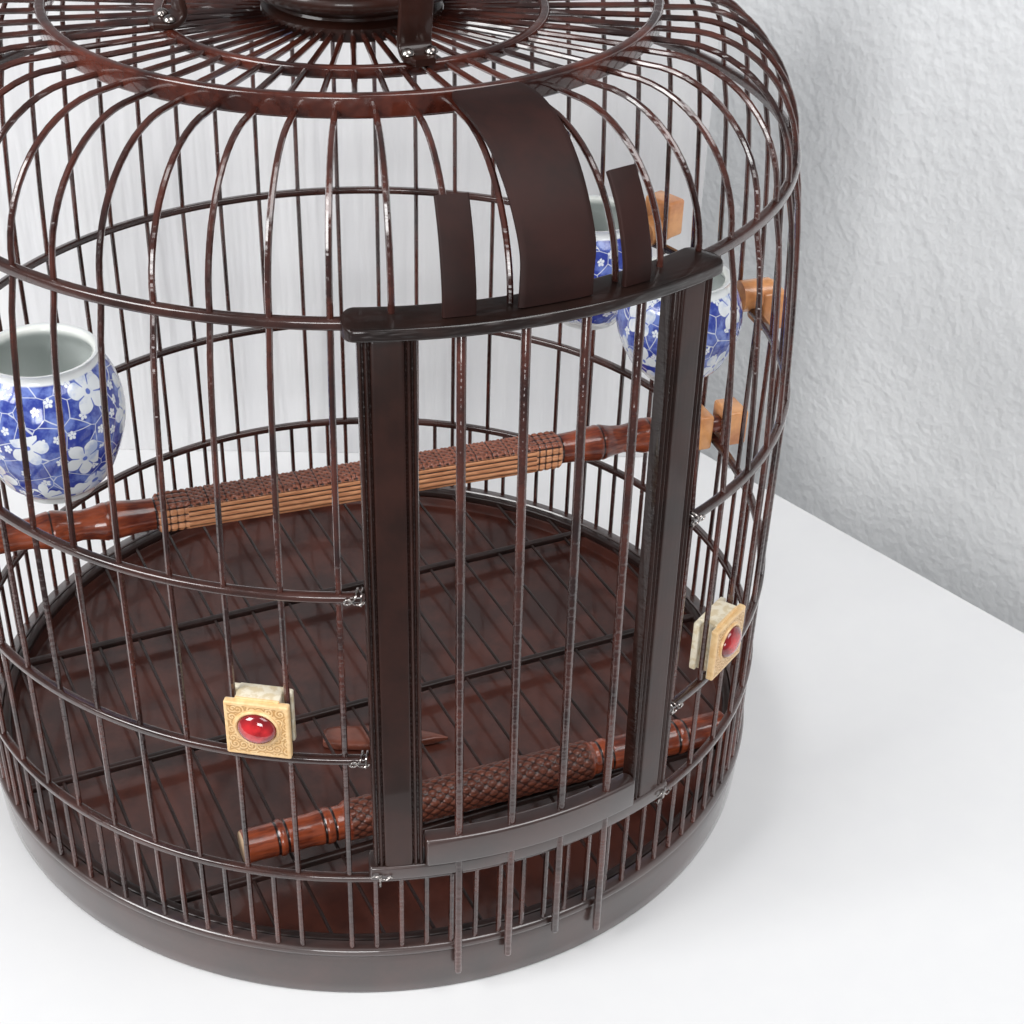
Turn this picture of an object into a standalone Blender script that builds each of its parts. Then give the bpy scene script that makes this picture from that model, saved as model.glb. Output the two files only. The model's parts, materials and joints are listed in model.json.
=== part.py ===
"""Hanging bird cage: round lacquered bar cage with a lifting door.

Metres, +Z up. The door faces -Y, and the origin is the middle of the
bounding box on the plane that the base ring stands on. Angles round the
cage are measured from the door's middle towards +X, in degrees.
"""
import math

import bmesh
import bpy
from mathutils import Matrix, Vector

mm = 0.001
gap = 0.3 * mm
weld = 0.001 * mm
overrun = 1.0 * mm

# Bars
bar_count = 56
bar_pitch = 360.0 / bar_count
bar_zero_index = 3.64
bar_side = 2.1 * mm
bar_depth = bar_side / math.sqrt(2.0)
wall_radius = 189.4 * mm
lean_mid_inset = 5.1 * mm
lean_mid_radius = wall_radius - lean_mid_inset
shoulder_inset = 9.4 * mm
shoulder_radius = wall_radius - shoulder_inset
dome_corner_radius = 49.4 * mm
dome_corner_steps = 4
dome_flat_drop = 1.6 * mm
first_wall_bar = 7
last_wall_bar = first_wall_bar + bar_count - 7
wall_panel_bars = (10, 10, 10, 10, 10)
dome_panel_bars = (10, 10, 10, 10, 9)

# Base ring
base_height = 28.4 * mm
base_overhang = 2.3 * mm
base_outer_radius = wall_radius + base_overhang
base_foot_inset = 1.3 * mm
base_wall = 6.2 * mm
base_inner_radius = base_outer_radius - base_wall
base_edge = 0.9 * mm
base_bead_drop = 4.2 * mm
base_bead_depth = 0.8 * mm
ledge_width = 7.0 * mm
ledge_bottom_z = 9.7 * mm
ledge_thickness = 4.0 * mm
ledge_top_z = ledge_bottom_z + ledge_thickness
ring_steps = 48
inner_ring_steps = 28

# Hoops
hoop_side = 4.36 * mm
shoulder_hoop_side = 5.0 * mm
sill_hoop_z = 70.0 * mm
perch_hoop_z = 134.0 * mm
perch_hoop_dip = 16.5 * mm
dip_start_angle = 125.0
dip_end_angle = 30.0
upper_hoop_z = 211.5 * mm
shoulder_hoop_z = 315.5 * mm
lean_mid_drop = 21.5 * mm
lean_mid_z = shoulder_hoop_z - lean_mid_drop

# Crown
plank_inset = 57.4 * mm
plank_outer_radius = shoulder_radius - plank_inset
plank_width = 4.0 * mm
plank_inner_radius = plank_outer_radius - plank_width
plank_rise = 47.2 * mm
plank_bottom_z = shoulder_hoop_z + plank_rise
plank_height = 8.5 * mm
plank_top_z = plank_bottom_z + plank_height
plank_edge = 1.0 * mm
ray_lift = 1.3 * mm
ray_z = plank_bottom_z + ray_lift
inner_ring_share = 0.64334
inner_ring_radius = plank_inner_radius * inner_ring_share
inner_ring_side = 4.2 * mm
hub_base_radius = 36.0 * mm
hub_rim_radius = 47.0 * mm
hub_drop = 1.7 * mm
hub_bottom_z = plank_bottom_z - hub_drop
hub_height = 19.0 * mm
hub_steps = 20

# Door frame
door_lean = 1.0
post_angle = 17.68
post_width = 20.0 * mm
post_thickness = 7.0 * mm
post_overhang = 0.6 * mm
post_outer_radius = wall_radius + post_overhang
header_drop = 1.5 * mm
header_bottom_z = shoulder_hoop_z - header_drop
header_thickness = 5.0 * mm
header_overhang = 2.8 * mm
header_outer_radius = wall_radius + header_overhang
header_depth = 18.0 * mm
header_inner_radius = header_outer_radius - header_depth
header_tip_angle = 22.3
sill_thickness = 7.3 * mm
sill_overhang = 5.1 * mm
sill_outer_radius = wall_radius + sill_overhang
sill_depth = 11.5 * mm
sill_inner_radius = sill_outer_radius - sill_depth
sill_end_angle = 21.0
door_bar_angles = (-10.2, -3.4, 3.4, 10.2)
door_bar_radius = 1.8 * mm
door_bar_circle = wall_radius
door_hole_clearance = 0.3 * mm
door_pin_bottoms = (13.0 * mm, 17.0 * mm, 22.0 * mm, 12.0 * mm)
rail_half_angle = 14.45
rail_overhang = 3.2 * mm
rail_outer_radius = wall_radius + rail_overhang
rail_depth = 8.1 * mm
rail_inner_radius = rail_outer_radius - rail_depth
rail_height = 14.0 * mm
rail_seat_gap = 0.5 * mm

# Ornaments over the door
ear_angle = 10.2
ear_width = 11.5 * mm
ear_thickness = 2.4 * mm
ear_foot_inset = 2.6 * mm
ear_foot_radius = wall_radius - ear_foot_inset
ear_height = 36.7 * mm
fascia_thickness = 2.2 * mm
fascia_foot_inset = 2.8 * mm
fascia_foot_radius = wall_radius - fascia_foot_inset
fascia_across = 5

# Wire ties and staples
tie_wire_radius = 0.3 * mm
staple_wire_radius = 0.5 * mm
staple_angles = (-19.6, 19.85)

# Floor
rod_pitch = 21.0 * mm
rod_first_x = 4.0 * mm
rod_side = 1.6 * mm
grid_lift = 12.3 * mm
grid_z = ledge_top_z + grid_lift
grid_ring_side = 4.4 * mm
cross_bar_side = 3.8 * mm
cross_bar_y = (-116.0 * mm, -18.0 * mm, 80.0 * mm)
tray_thickness = 3.6 * mm
tray_rim_width = 4.2 * mm
knob_length = 62.0 * mm
knob_width = 16.0 * mm
knob_height = 5.0 * mm
knob_x = -8.0 * mm
knob_y = -42.0 * mm
knob_turn = -23.0
knob_pin_radius = 2.0 * mm
knob_pin_depth = 2.4 * mm

# Perches
perch_left_index = -11.5
perch_right_index = 17.5
perch_neck_radius = 4.6 * mm
perch_body_radius = 9.0 * mm
perch_waist_radius = 6.2 * mm
perch_bar_side = 16.0 * mm
perch_bar_height = 15.0 * mm
perch_bar_start = -98.0 * mm
perch_bar_end = 103.0 * mm
perch_neck_length = 10.0 * mm
perch_steps = 12
inner_block_length = 7.6 * mm
inner_block_inset = 3.8 * mm
block_width = 17.0 * mm
block_height = 19.0 * mm
block_depth = 12.0 * mm
block_edge = 1.2 * mm
block_standoff = 3.6 * mm
block_inner_radius = wall_radius + block_standoff
floor_perch_left_inset = 42.52 * mm
floor_perch_left_angle = -44.09
floor_perch_right_inset = 7.42 * mm
floor_perch_right_angle = 50.19
floor_perch_end_radius = 7.8 * mm
floor_perch_knurl_radius = 9.6 * mm
floor_perch_ring_radius = 8.6 * mm

# Cups
cup_wall = 2.3 * mm
cup_steps = 16
stem_radius = 3.0 * mm
cup_block_offset = 6.0 * mm
cup_left_inset = 47.9 * mm
cup_left_radius = 32.5 * mm
cup_left_height = 65.0 * mm
cup_left_rise = 28.5 * mm
cup_right_inset = 35.4 * mm
cup_right_radius = 29.5 * mm
cup_right_height = 50.0 * mm
cup_right_rise = 20.5 * mm
cup_far_inset = 42.4 * mm
cup_far_radius = 30.0 * mm
cup_far_height = 55.0 * mm
cup_far_rise = 26.5 * mm

# Clips
clip_width = 25.5 * mm
clip_height = 26.5 * mm
clip_front_thickness = 3.4 * mm
clip_web_width = 13.0 * mm
clip_rear_width = 22.0 * mm
clip_rear_thickness = 3.0 * mm
clip_foot_rise = 3.2 * mm
clip_standoff = 2.9 * mm
clip_front_radius = wall_radius + clip_standoff
clip_edge = 0.6 * mm
gem_radius = 6.4 * mm
gem_height = 4.0 * mm
gem_steps = 12

# Claws, collar and hook
claw_angles = (-2.0, 90.0, 178.0, -88.0)
claw_width = 13.0 * mm
claw_thickness = 2.6 * mm
claw_foot_reach = 6.4 * mm
claw_rise = 66.0 * mm
claw_bulge = 3.0 * mm
claw_root_inset = 5.6 * mm
screw_spacing = 9.2 * mm
screw_head_radius = 2.5 * mm
screw_head_height = 1.7 * mm
screw_shank_radius = 1.2 * mm
screw_steps = 8
collar_radius = 13.0 * mm
collar_height = 9.0 * mm
hook_wire_radius = 2.4 * mm
hook_flange_radius = 5.0 * mm
hook_flange_height = 3.0 * mm
hook_loop_radius = 12.5 * mm
hook_neck_length = 10.0 * mm


def bar_angle(index):
    """Angle of a bar, or of a gap when the index ends in a half."""
    return (index - bar_zero_index) * bar_pitch


def hoop_end_at(radius, length):
    """Angle in degrees that a length covers on a circle."""
    return math.degrees(length / radius)


# The door rail reaches furthest forward, and the perch blocks furthest
# to the sides, so these place the cage's axis in the bounding box.
rail_slope = math.tan(math.radians(door_lean))
pivot_z = header_bottom_z + header_thickness / 2
sill_bottom_z = sill_hoop_z + hoop_side / 2 + gap
sill_top_z = sill_bottom_z + sill_thickness
rail_bottom_z = sill_top_z + rail_seat_gap
rail_reach = rail_outer_radius + (pivot_z - rail_bottom_z) * rail_slope
perch_left_angle = bar_angle(perch_left_index)
perch_right_angle = bar_angle(perch_right_index)
perch_mid_x = wall_radius * (
    math.sin(math.radians(perch_left_angle)) + math.sin(math.radians(perch_right_angle))
) / 2
axis_x = -perch_mid_x
axis_y = (rail_reach - base_outer_radius) / 2
axis_shift = Vector((axis_x, axis_y, 0))


def direction(angle):
    """Level unit vector pointing out of the cage at an angle."""
    turn = math.radians(angle)
    return Vector((math.sin(turn), -math.cos(turn), 0))


def polar(radius, angle, z):
    """Point in the cage's own axes."""
    return direction(angle) * radius + Vector((0, 0, z))


def facing(angle, z=0.0):
    """Matrix whose X axis points out of the cage at an angle."""
    turn = Matrix.Rotation(math.radians(angle - 90), 4, "Z")
    return Matrix.Translation(axis_shift + Vector((0, 0, z))) @ turn


def hoop_side_z(angle):
    """Height of the perch hoop, which dips on the right of the door."""
    turn = (angle + 180) % 360 - 180
    along = (dip_start_angle - turn) / (dip_start_angle - dip_end_angle)
    share = min(max(along, 0), 1) if turn > 0 else 0
    return perch_hoop_z - perch_hoop_dip * share * share * (3 - 2 * share)


def clear_scene():
    """Remove every object and leftover mesh."""
    for item in list(bpy.data.objects):
        bpy.data.objects.remove(item, do_unlink=True)
    for collection in list(bpy.data.collections):
        bpy.data.collections.remove(collection)


clear_scene()
parts = bpy.data.collections.new("hanging_bird_cage")
guides = bpy.data.collections.new("cutters")
bpy.context.scene.collection.children.link(parts)
bpy.context.scene.collection.children.link(guides)


def material(name, colour, roughness, metallic=0.0):
    """Principled material."""
    made = bpy.data.materials.new(name)
    made.use_nodes = True
    shader = made.node_tree.nodes["Principled BSDF"]
    shader.inputs["Base Color"].default_value = (*colour, 1.0)
    shader.inputs["Roughness"].default_value = roughness
    shader.inputs["Metallic"].default_value = metallic
    made.diffuse_color = (*colour, 1.0)
    return made


bar_lacquer = material("bar_lacquer", (0.075, 0.030, 0.024), 0.28)
frame_lacquer = material("frame_lacquer", (0.060, 0.032, 0.028), 0.25)
plank_lacquer = material("plank_lacquer", (0.130, 0.042, 0.028), 0.2)
fascia_lacquer = material("fascia_lacquer", (0.050, 0.018, 0.016), 0.4)
tray_board = material("tray_board", (0.090, 0.032, 0.024), 0.5)
rosewood = material("rosewood", (0.200, 0.055, 0.030), 0.35)
block_wood = material("block_wood", (0.420, 0.150, 0.050), 0.35)
porcelain = material("porcelain", (0.780, 0.820, 0.860), 0.12)
clip_bone = material("clip_bone", (0.720, 0.560, 0.340), 0.45)
ruby = material("ruby", (0.550, 0.010, 0.020), 0.08)
silver = material("silver", (0.800, 0.800, 0.800), 0.25, 1.0)
hook_steel = material("hook_steel", (0.700, 0.680, 0.640), 0.3, 1.0)


def add(name, mesh, skin, collection=parts):
    """Link a mesh as an object of the cage."""
    item = bpy.data.objects.new(name, mesh)
    collection.objects.link(item)
    if skin is not None:
        mesh.materials.clear()
        mesh.materials.append(skin)
    if collection is guides:
        item.hide_render = True
        item.display_type = "WIRE"
    return item


def curve_mesh(curve):
    """Mesh of a curve, with its caps welded on."""
    holder = bpy.data.objects.new("holder", curve)
    guides.objects.link(holder)
    graph = bpy.context.evaluated_depsgraph_get()
    mesh = bpy.data.meshes.new_from_object(holder.evaluated_get(graph))
    bpy.data.objects.remove(holder)
    bm = bmesh.new()
    bm.from_mesh(mesh)
    bmesh.ops.remove_doubles(bm, verts=bm.verts, dist=weld)
    bmesh.ops.recalc_face_normals(bm, faces=bm.faces)
    bm.to_mesh(mesh)
    bm.free()
    return mesh


def tube(points, depth, resolution=0, cyclic=False, level=False):
    """Wire or bar along points; level keeps a square section upright."""
    curve = bpy.data.curves.new("tube", "CURVE")
    curve.dimensions = "3D"
    curve.twist_mode = "Z_UP" if level else "MINIMUM"
    curve.bevel_depth = depth
    curve.bevel_resolution = resolution
    curve.use_fill_caps = not cyclic
    spline = curve.splines.new("POLY")
    spline.points.add(len(points) - 1)
    for point, place in zip(spline.points, points):
        point.co = (*place, 1.0)
        point.tilt = math.radians(45) if level else 0.0
    spline.use_cyclic_u = cyclic
    return curve_mesh(curve)


def outline(points, thickness, holes=()):
    """Flat plate with the given outline and holes, centred on Z = 0."""
    curve = bpy.data.curves.new("outline", "CURVE")
    curve.dimensions = "2D"
    curve.fill_mode = "BOTH"
    curve.extrude = thickness / 2
    for loop in (points, *holes):
        spline = curve.splines.new("POLY")
        spline.points.add(len(loop) - 1)
        for point, place in zip(spline.points, loop):
            point.co = (place[0], place[1], 0.0, 1.0)
        spline.use_cyclic_u = True
    return curve_mesh(curve)


def joined(pieces):
    """One mesh from (mesh, matrix) pairs."""
    bm = bmesh.new()
    for mesh, matrix in pieces:
        copy = mesh.copy()
        copy.transform(matrix)
        bm.from_mesh(copy)
        bpy.data.meshes.remove(copy)
    result = bpy.data.meshes.new("joined")
    bm.to_mesh(result)
    bm.free()
    return result


def combine(item, mesh, operation="UNION"):
    """Boolean of an object with a hidden guide made from a mesh."""
    guide = add(item.name + "_" + operation.lower(), mesh, None, guides)
    guide.matrix_world = item.matrix_world.copy()
    guide.parent = item.parent
    if item.parent is not None:
        guide.matrix_parent_inverse = item.matrix_parent_inverse.copy()
        guide.matrix_basis = item.matrix_basis.copy()
    change = item.modifiers.new(operation.lower(), "BOOLEAN")
    change.operation = operation
    change.solver = "EXACT"
    change.object = guide
    return item


def turned(name, profile, skin, steps, closed=False):
    """Turned piece; the profile runs down the outer side."""
    mesh = bpy.data.meshes.new(name)
    edges = [(i, i + 1) for i in range(len(profile) - 1)]
    if closed:
        edges.append((len(profile) - 1, 0))
    mesh.from_pydata([(r, 0, z) for r, z in profile], edges, [])
    item = add(name, mesh, skin)
    screw = item.modifiers.new("turn", "SCREW")
    screw.axis = "Z"
    screw.angle = math.radians(360)
    screw.steps = steps
    screw.render_steps = steps
    screw.use_merge_vertices = True
    screw.merge_threshold = weld
    screw.use_smooth_shade = True
    return item


def turned_mesh(profile, steps):
    """Mesh of a turned piece, for joining to another."""
    item = turned("turned", profile, None, steps)
    graph = bpy.context.evaluated_depsgraph_get()
    mesh = bpy.data.meshes.new_from_object(item.evaluated_get(graph))
    bpy.data.objects.remove(item)
    return mesh


def box_mesh(size, centre):
    """Box of a size about a centre."""
    bm = bmesh.new()
    shape = Matrix.Translation(Vector(centre)) @ Matrix.Diagonal((*size, 1))
    bmesh.ops.create_cube(bm, size=1.0, matrix=shape)
    mesh = bpy.data.meshes.new("box")
    bm.to_mesh(mesh)
    bm.free()
    return mesh


def rod_mesh(start, end, radius, sides):
    """Cylinder between two points."""
    start = Vector(start)
    run = Vector(end) - start
    turn = run.to_track_quat("Z", "Y").to_matrix().to_4x4()
    place = Matrix.Translation(start + run / 2) @ turn
    bm = bmesh.new()
    bmesh.ops.create_cone(
        bm, cap_ends=True, segments=sides, radius1=radius, radius2=radius,
        depth=run.length, matrix=place)
    mesh = bpy.data.meshes.new("rod")
    bm.to_mesh(mesh)
    bm.free()
    return mesh


def bevel(item, width):
    """Small flat edges."""
    edge = item.modifiers.new("edges", "BEVEL")
    edge.width = width
    edge.segments = 1
    edge.limit_method = "ANGLE"
    edge.angle_limit = math.radians(50)
    return item


def place(item, matrix):
    """Put an object at a matrix in the world."""
    item.matrix_world = matrix
    return item


def circle(centre_x, centre_y, radius, sides):
    """Points round a circle."""
    turns = [2 * math.pi * i / sides for i in range(sides)]
    return [(centre_x + radius * math.cos(t), centre_y + radius * math.sin(t)) for t in turns]


def arc_xy(radius, start, end, steps):
    """Level points round the cage between two angles."""
    angles = [start + (end - start) * i / steps for i in range(steps + 1)]
    return [tuple(polar(radius, angle, 0).xy) for angle in angles]


# Base ring
foot_radius = base_outer_radius - base_foot_inset
bead_z = base_height - base_bead_drop
base_profile = [
    (base_outer_radius - base_edge, base_height),
    (base_outer_radius, base_height - base_edge),
    (base_outer_radius, bead_z),
    (base_outer_radius - base_bead_depth, bead_z - base_edge),
    (foot_radius, 0),
    (base_inner_radius, 0),
    (base_inner_radius, ledge_bottom_z),
    (base_inner_radius - ledge_width, ledge_bottom_z),
    (base_inner_radius - ledge_width, ledge_top_z),
    (base_inner_radius, ledge_top_z),
    (base_inner_radius, base_height),
]
base_ring = turned("base_ring", base_profile, frame_lacquer, ring_steps, closed=True)
place(base_ring, Matrix.Translation(axis_shift))


# Bars of the wall and the dome, drawn once with X pointing outwards
bar_bottom_z = base_height + gap
wall_bar_top_z = shoulder_hoop_z - shoulder_hoop_side / 2 - gap
wall_top_share = (wall_bar_top_z - lean_mid_z) / (shoulder_hoop_z - lean_mid_z)
wall_top_radius = lean_mid_radius + (shoulder_radius - lean_mid_radius) * wall_top_share
wall_bar = tube([
    (wall_radius, 0, bar_bottom_z),
    (wall_radius, 0, upper_hoop_z),
    (lean_mid_radius, 0, lean_mid_z),
    (wall_top_radius, 0, wall_bar_top_z),
], bar_depth)
short_bar = tube([
    (wall_radius, 0, bar_bottom_z),
    (wall_radius, 0, sill_hoop_z),
], bar_depth)

dome_centre_radius = shoulder_radius - dome_corner_radius
dome_points = []
for step in range(dome_corner_steps + 1):
    lift = math.radians(90.0 * step / dome_corner_steps)
    dome_points.append((
        dome_centre_radius + dome_corner_radius * math.cos(lift), 0,
        shoulder_hoop_z + gap + dome_corner_radius * math.sin(lift) + dome_flat_drop))
crown_end_z = dome_points[-1][2] - dome_flat_drop
dome_end = (plank_outer_radius + gap, 0, crown_end_z)


def dome_bar(start_z):
    """Dome bar that starts inside a hoop or the header."""
    return tube([(shoulder_radius, 0, start_z), *dome_points, dome_end], bar_depth)


def run_radius(angle, phase, pitch, radius):
    """Radius of a hoop's straight run at an angle."""
    apothem = radius * math.cos(math.radians(pitch / 4))
    within = (angle - phase) % pitch - pitch / 2
    return apothem / math.cos(math.radians(within))


def hoop_arc(start, end, phase, pitch, radius, side, height):
    """Square hoop from angle to angle; its straight runs meet the bars.

    phase is an angle where two runs meet, and pitch the angle of a run.
    """
    angles = [start]
    step = math.ceil((start - phase) / pitch + 0.02)
    while phase + step * pitch < end - pitch * 0.02:
        angles.append(phase + step * pitch)
        step += 1
    angles.append(end)
    points = []
    for angle in angles:
        reach = run_radius(angle, phase, pitch, radius)
        points.append(polar(reach, angle, height(angle)))
    return tube(points, side / math.sqrt(2.0), level=True)


post_edge_angle = post_angle + hoop_end_at(post_outer_radius - post_thickness, post_width / 2)
hoop_end_angle = post_edge_angle + hoop_end_at(wall_radius, gap / 2)
hoop_gap_angle = hoop_end_at(wall_radius, gap)
full_turn = 360.0
identity = Matrix.Identity(4)

first_bar = first_wall_bar
for number, count in enumerate(wall_panel_bars):
    last_bar = first_bar + count - 1
    is_first = number == 0
    is_last = number == len(wall_panel_bars) - 1
    low_start = bar_angle(first_bar - 0.25) + hoop_gap_angle
    low_end = bar_angle(last_bar + (0.25 if is_last else 0.75)) - hoop_gap_angle
    start = hoop_end_angle if is_first else low_start
    end = full_turn - hoop_end_angle if is_last else low_end
    low_hoop = hoop_arc(
        low_start, low_end, bar_angle(first_bar - 0.25), bar_pitch,
        wall_radius, hoop_side, lambda angle: sill_hoop_z)
    phase = bar_angle(first_bar - 0.5)
    perch_hoop = hoop_arc(
        start, end, phase, 2 * bar_pitch, wall_radius, hoop_side, hoop_side_z)
    upper_hoop = hoop_arc(
        start, end, phase, 2 * bar_pitch, wall_radius, hoop_side,
        lambda angle: upper_hoop_z)
    hoops = joined([(low_hoop, identity), (perch_hoop, identity), (upper_hoop, identity)])
    panel = add("wall_panel_%d" % (number + 1), hoops, bar_lacquer)
    place(panel, Matrix.Translation(axis_shift))
    uprights = []
    for index in range(first_bar, last_bar + 1):
        turn = Matrix.Rotation(math.radians(bar_angle(index) - 90), 4, "Z")
        uprights.append((wall_bar, turn))
        if index < last_wall_bar - 1:
            half = Matrix.Rotation(math.radians(bar_angle(index + 0.5) - 90), 4, "Z")
            uprights.append((short_bar, half))
    combine(panel, joined(uprights))
    first_bar = last_bar + 1

header_end_angle = header_tip_angle + hoop_end_at(shoulder_radius, gap)
shoulder_gap_angle = hoop_end_at(shoulder_radius, gap / 2)
shoulder_bar = dome_bar(shoulder_hoop_z)
first_bar = first_wall_bar + 1
for number, count in enumerate(dome_panel_bars):
    last_bar = first_bar + count - 1
    phase = bar_angle(first_bar + 0.5)
    start = bar_angle(first_bar - 0.5) + shoulder_gap_angle if number else header_end_angle
    end = bar_angle(last_bar + 0.5) - shoulder_gap_angle
    if number == len(dome_panel_bars) - 1:
        end = full_turn - header_end_angle
    hoop = hoop_arc(
        start, end, phase, 2 * bar_pitch, shoulder_radius, shoulder_hoop_side,
        lambda angle: shoulder_hoop_z)
    panel = add("dome_panel_%d" % (number + 1), hoop, bar_lacquer)
    place(panel, Matrix.Translation(axis_shift))
    uprights = []
    for index in range(first_bar, last_bar + 1):
        turn = Matrix.Rotation(math.radians(bar_angle(index) - 90), 4, "Z")
        uprights.append((shoulder_bar, turn))
    combine(panel, joined(uprights))
    first_bar = last_bar + 1

# Low hoop and short bars under the sill
sill_hoop = hoop_arc(
    bar_angle(0.25) + hoop_gap_angle, bar_angle(first_wall_bar - 0.25) - hoop_gap_angle,
    bar_angle(0.25), bar_pitch, wall_radius, hoop_side, lambda angle: sill_hoop_z)
sill_panel = add("sill_bars", sill_hoop, bar_lacquer)
place(sill_panel, Matrix.Translation(axis_shift))
uprights = []
for half_index in range(1, 2 * first_wall_bar):
    turn = Matrix.Rotation(math.radians(bar_angle(half_index / 2) - 90), 4, "Z")
    uprights.append((short_bar, turn))
combine(sill_panel, joined(uprights))

# Header plate with the dome bars above the door
door_holes = [polar(door_bar_circle, angle, 0) for angle in door_bar_angles]
hole_radius = door_bar_radius + door_hole_clearance
nose_radius = (header_outer_radius - header_inner_radius) / 2
nose_circle = (header_outer_radius + header_inner_radius) / 2
nose_angle = header_tip_angle - hoop_end_at(nose_circle, nose_radius)
nose_steps = 6
header_points = arc_xy(header_outer_radius, -nose_angle, nose_angle, 12)
for step in range(1, nose_steps):
    turn = math.pi * step / nose_steps
    header_points.append(tuple(polar(
        nose_circle + nose_radius * math.cos(turn),
        nose_angle + hoop_end_at(nose_circle, nose_radius * math.sin(turn)), 0).xy))
header_points += arc_xy(header_inner_radius, nose_angle, -nose_angle, 12)
for step in range(1, nose_steps):
    turn = math.pi * step / nose_steps
    header_points.append(tuple(polar(
        nose_circle - nose_radius * math.cos(turn),
        -nose_angle - hoop_end_at(nose_circle, nose_radius * math.sin(turn)), 0).xy))
hole_loops = [circle(hole.x, hole.y, hole_radius, 8) for hole in door_holes]
header = add("door_header", outline(header_points, header_thickness, hole_loops), frame_lacquer)
place(header, Matrix.Translation(axis_shift + Vector((0, 0, pivot_z))))
header_bar = dome_bar(pivot_z)
header_bars = []
for index in range(1, first_wall_bar + 1):
    turn = Matrix.Rotation(math.radians(bar_angle(index) - 90), 4, "Z")
    header_bars.append((header_bar, Matrix.Translation((0, 0, -pivot_z)) @ turn))
combine(header, joined(header_bars))

# Sill plate, notched in front for the door bars
sill_mid_z = sill_bottom_z + sill_thickness / 2
sill_lean = (pivot_z - sill_mid_z) * rail_slope
notch_steps = 6
sill_points = []
edge_angle = -sill_end_angle
for hole in door_holes:
    centre = Vector((hole.x, hole.y - sill_lean))
    reach = centre.length
    heading = math.degrees(math.atan2(centre.x, -centre.y))
    rise = sill_outer_radius - reach
    mouth = math.sqrt(hole_radius ** 2 - rise ** 2)
    mouth_angle = hoop_end_at(sill_outer_radius, mouth)
    sill_points += arc_xy(sill_outer_radius, edge_angle, heading - mouth_angle, 3)
    opening = math.atan2(mouth, rise)
    out = direction(heading).xy
    side = Vector((-out.y, out.x))
    for step in range(1, notch_steps):
        turn = -opening - (2 * math.pi - 2 * opening) * step / notch_steps
        point = centre + out * hole_radius * math.cos(turn) + side * hole_radius * math.sin(turn)
        sill_points.append(tuple(point))
    edge_angle = heading + mouth_angle
sill_points += arc_xy(sill_outer_radius, edge_angle, sill_end_angle, 3)
sill_points += arc_xy(sill_inner_radius, sill_end_angle, -sill_end_angle, 12)
sill = add("door_sill", outline(sill_points, sill_thickness), frame_lacquer)
place(sill, Matrix.Translation(axis_shift + Vector((0, 0, sill_mid_z))))

# The posts and the door lean together about the door's guide
guide = bpy.data.objects.new("door_guide", None)
parts.objects.link(guide)
guide.location = axis_shift + Vector((0, -door_bar_circle, pivot_z))
guide.rotation_euler = (math.radians(-door_lean), 0, 0)
bpy.context.view_layer.update()
guide_back = Matrix.Translation((0, door_bar_circle, 0))

post_half = post_width / 2
bead_share = 0.16
post_profile = [
    (post_outer_radius - post_thickness, -post_half),
    (post_outer_radius - post_thickness, post_half),
]
for edge in (1, -1):
    shares = ((1.0, 0.55), (0.93, 0.22), (0.84, 0.22), (0.78, 0.5), (0.72, 0.22),
              (0.62, 0.22), (0.56, 0.5), (0.5, 0.12), (0.28, 0.0))
    ordered = shares if edge > 0 else tuple(reversed(shares))
    for width_share, depth_share in ordered:
        post_profile.append((
            post_outer_radius - post_thickness * bead_share * 2 * depth_share,
            edge * post_half * width_share))
post_bottom = sill_top_z + gap - pivot_z
post_top = header_bottom_z - gap - pivot_z
lean_slack = post_thickness * rail_slope
post_height = post_top - post_bottom - lean_slack
for side_name, angle in (("left", -post_angle), ("right", post_angle)):
    turn = Matrix.Rotation(math.radians(angle - 90), 4, "Z")
    rise = Matrix.Translation((0, 0, (post_top + post_bottom) / 2))
    post = add("door_post_" + side_name, outline(post_profile, post_height), frame_lacquer)
    post.parent = guide
    post.matrix_basis = guide_back @ turn @ rise

# Door: curved rail with four long bars
rail_points = arc_xy(rail_outer_radius, -rail_half_angle, rail_half_angle, 10)
rail_points += arc_xy(rail_inner_radius, rail_half_angle, -rail_half_angle, 10)
door = add("door", outline(rail_points, rail_height), frame_lacquer)
door.parent = guide
rail_mid = rail_bottom_z + rail_height / 2 - pivot_z
door.matrix_basis = guide_back @ Matrix.Translation((0, 0, rail_mid))
door_bars = []
door_bar_top = header_thickness / 2 - gap
for hole, bottom in zip(door_holes, door_pin_bottoms):
    low = (hole.x, hole.y, bottom - pivot_z - rail_mid)
    high = (hole.x, hole.y, door_bar_top - rail_mid)
    door_bars.append((rod_mesh(low, high, door_bar_radius, 6), identity))
combine(door, joined(door_bars))

# Ears beside the fascia
header_top_z = header_bottom_z + header_thickness
ear_shares = ((0.0, 0.0), (0.16, 0.005), (0.42, 0.063), (0.66, 0.153), (0.86, 0.267),
              (1.0, 0.343))
ear_outer = []
ear_inner = []
for height_share, back_share in ear_shares:
    ear_outer.append((
        ear_foot_radius - ear_height * back_share, header_top_z + gap + ear_height * height_share))
for point_index, (reach, height) in enumerate(ear_outer):
    before = Vector(ear_outer[max(point_index - 1, 0)])
    after = Vector(ear_outer[min(point_index + 1, len(ear_outer) - 1)])
    run = (after - before).normalized()
    inward = Vector((-run.y, run.x))
    foot_blend = 0 if point_index == 0 else 1
    ear_inner.append((
        reach + (inward.x * foot_blend - (1 - foot_blend)) * ear_thickness,
        height + inward.y * foot_blend * ear_thickness))
ear_loop = ear_outer + list(reversed(ear_inner))
stand = Matrix.Rotation(math.radians(90), 4, "X")
for side_name, angle in (("left", -ear_angle), ("right", ear_angle)):
    ear = add("ear_" + side_name, outline(ear_loop, ear_width), fascia_lacquer)
    place(ear, facing(angle) @ stand)

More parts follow.
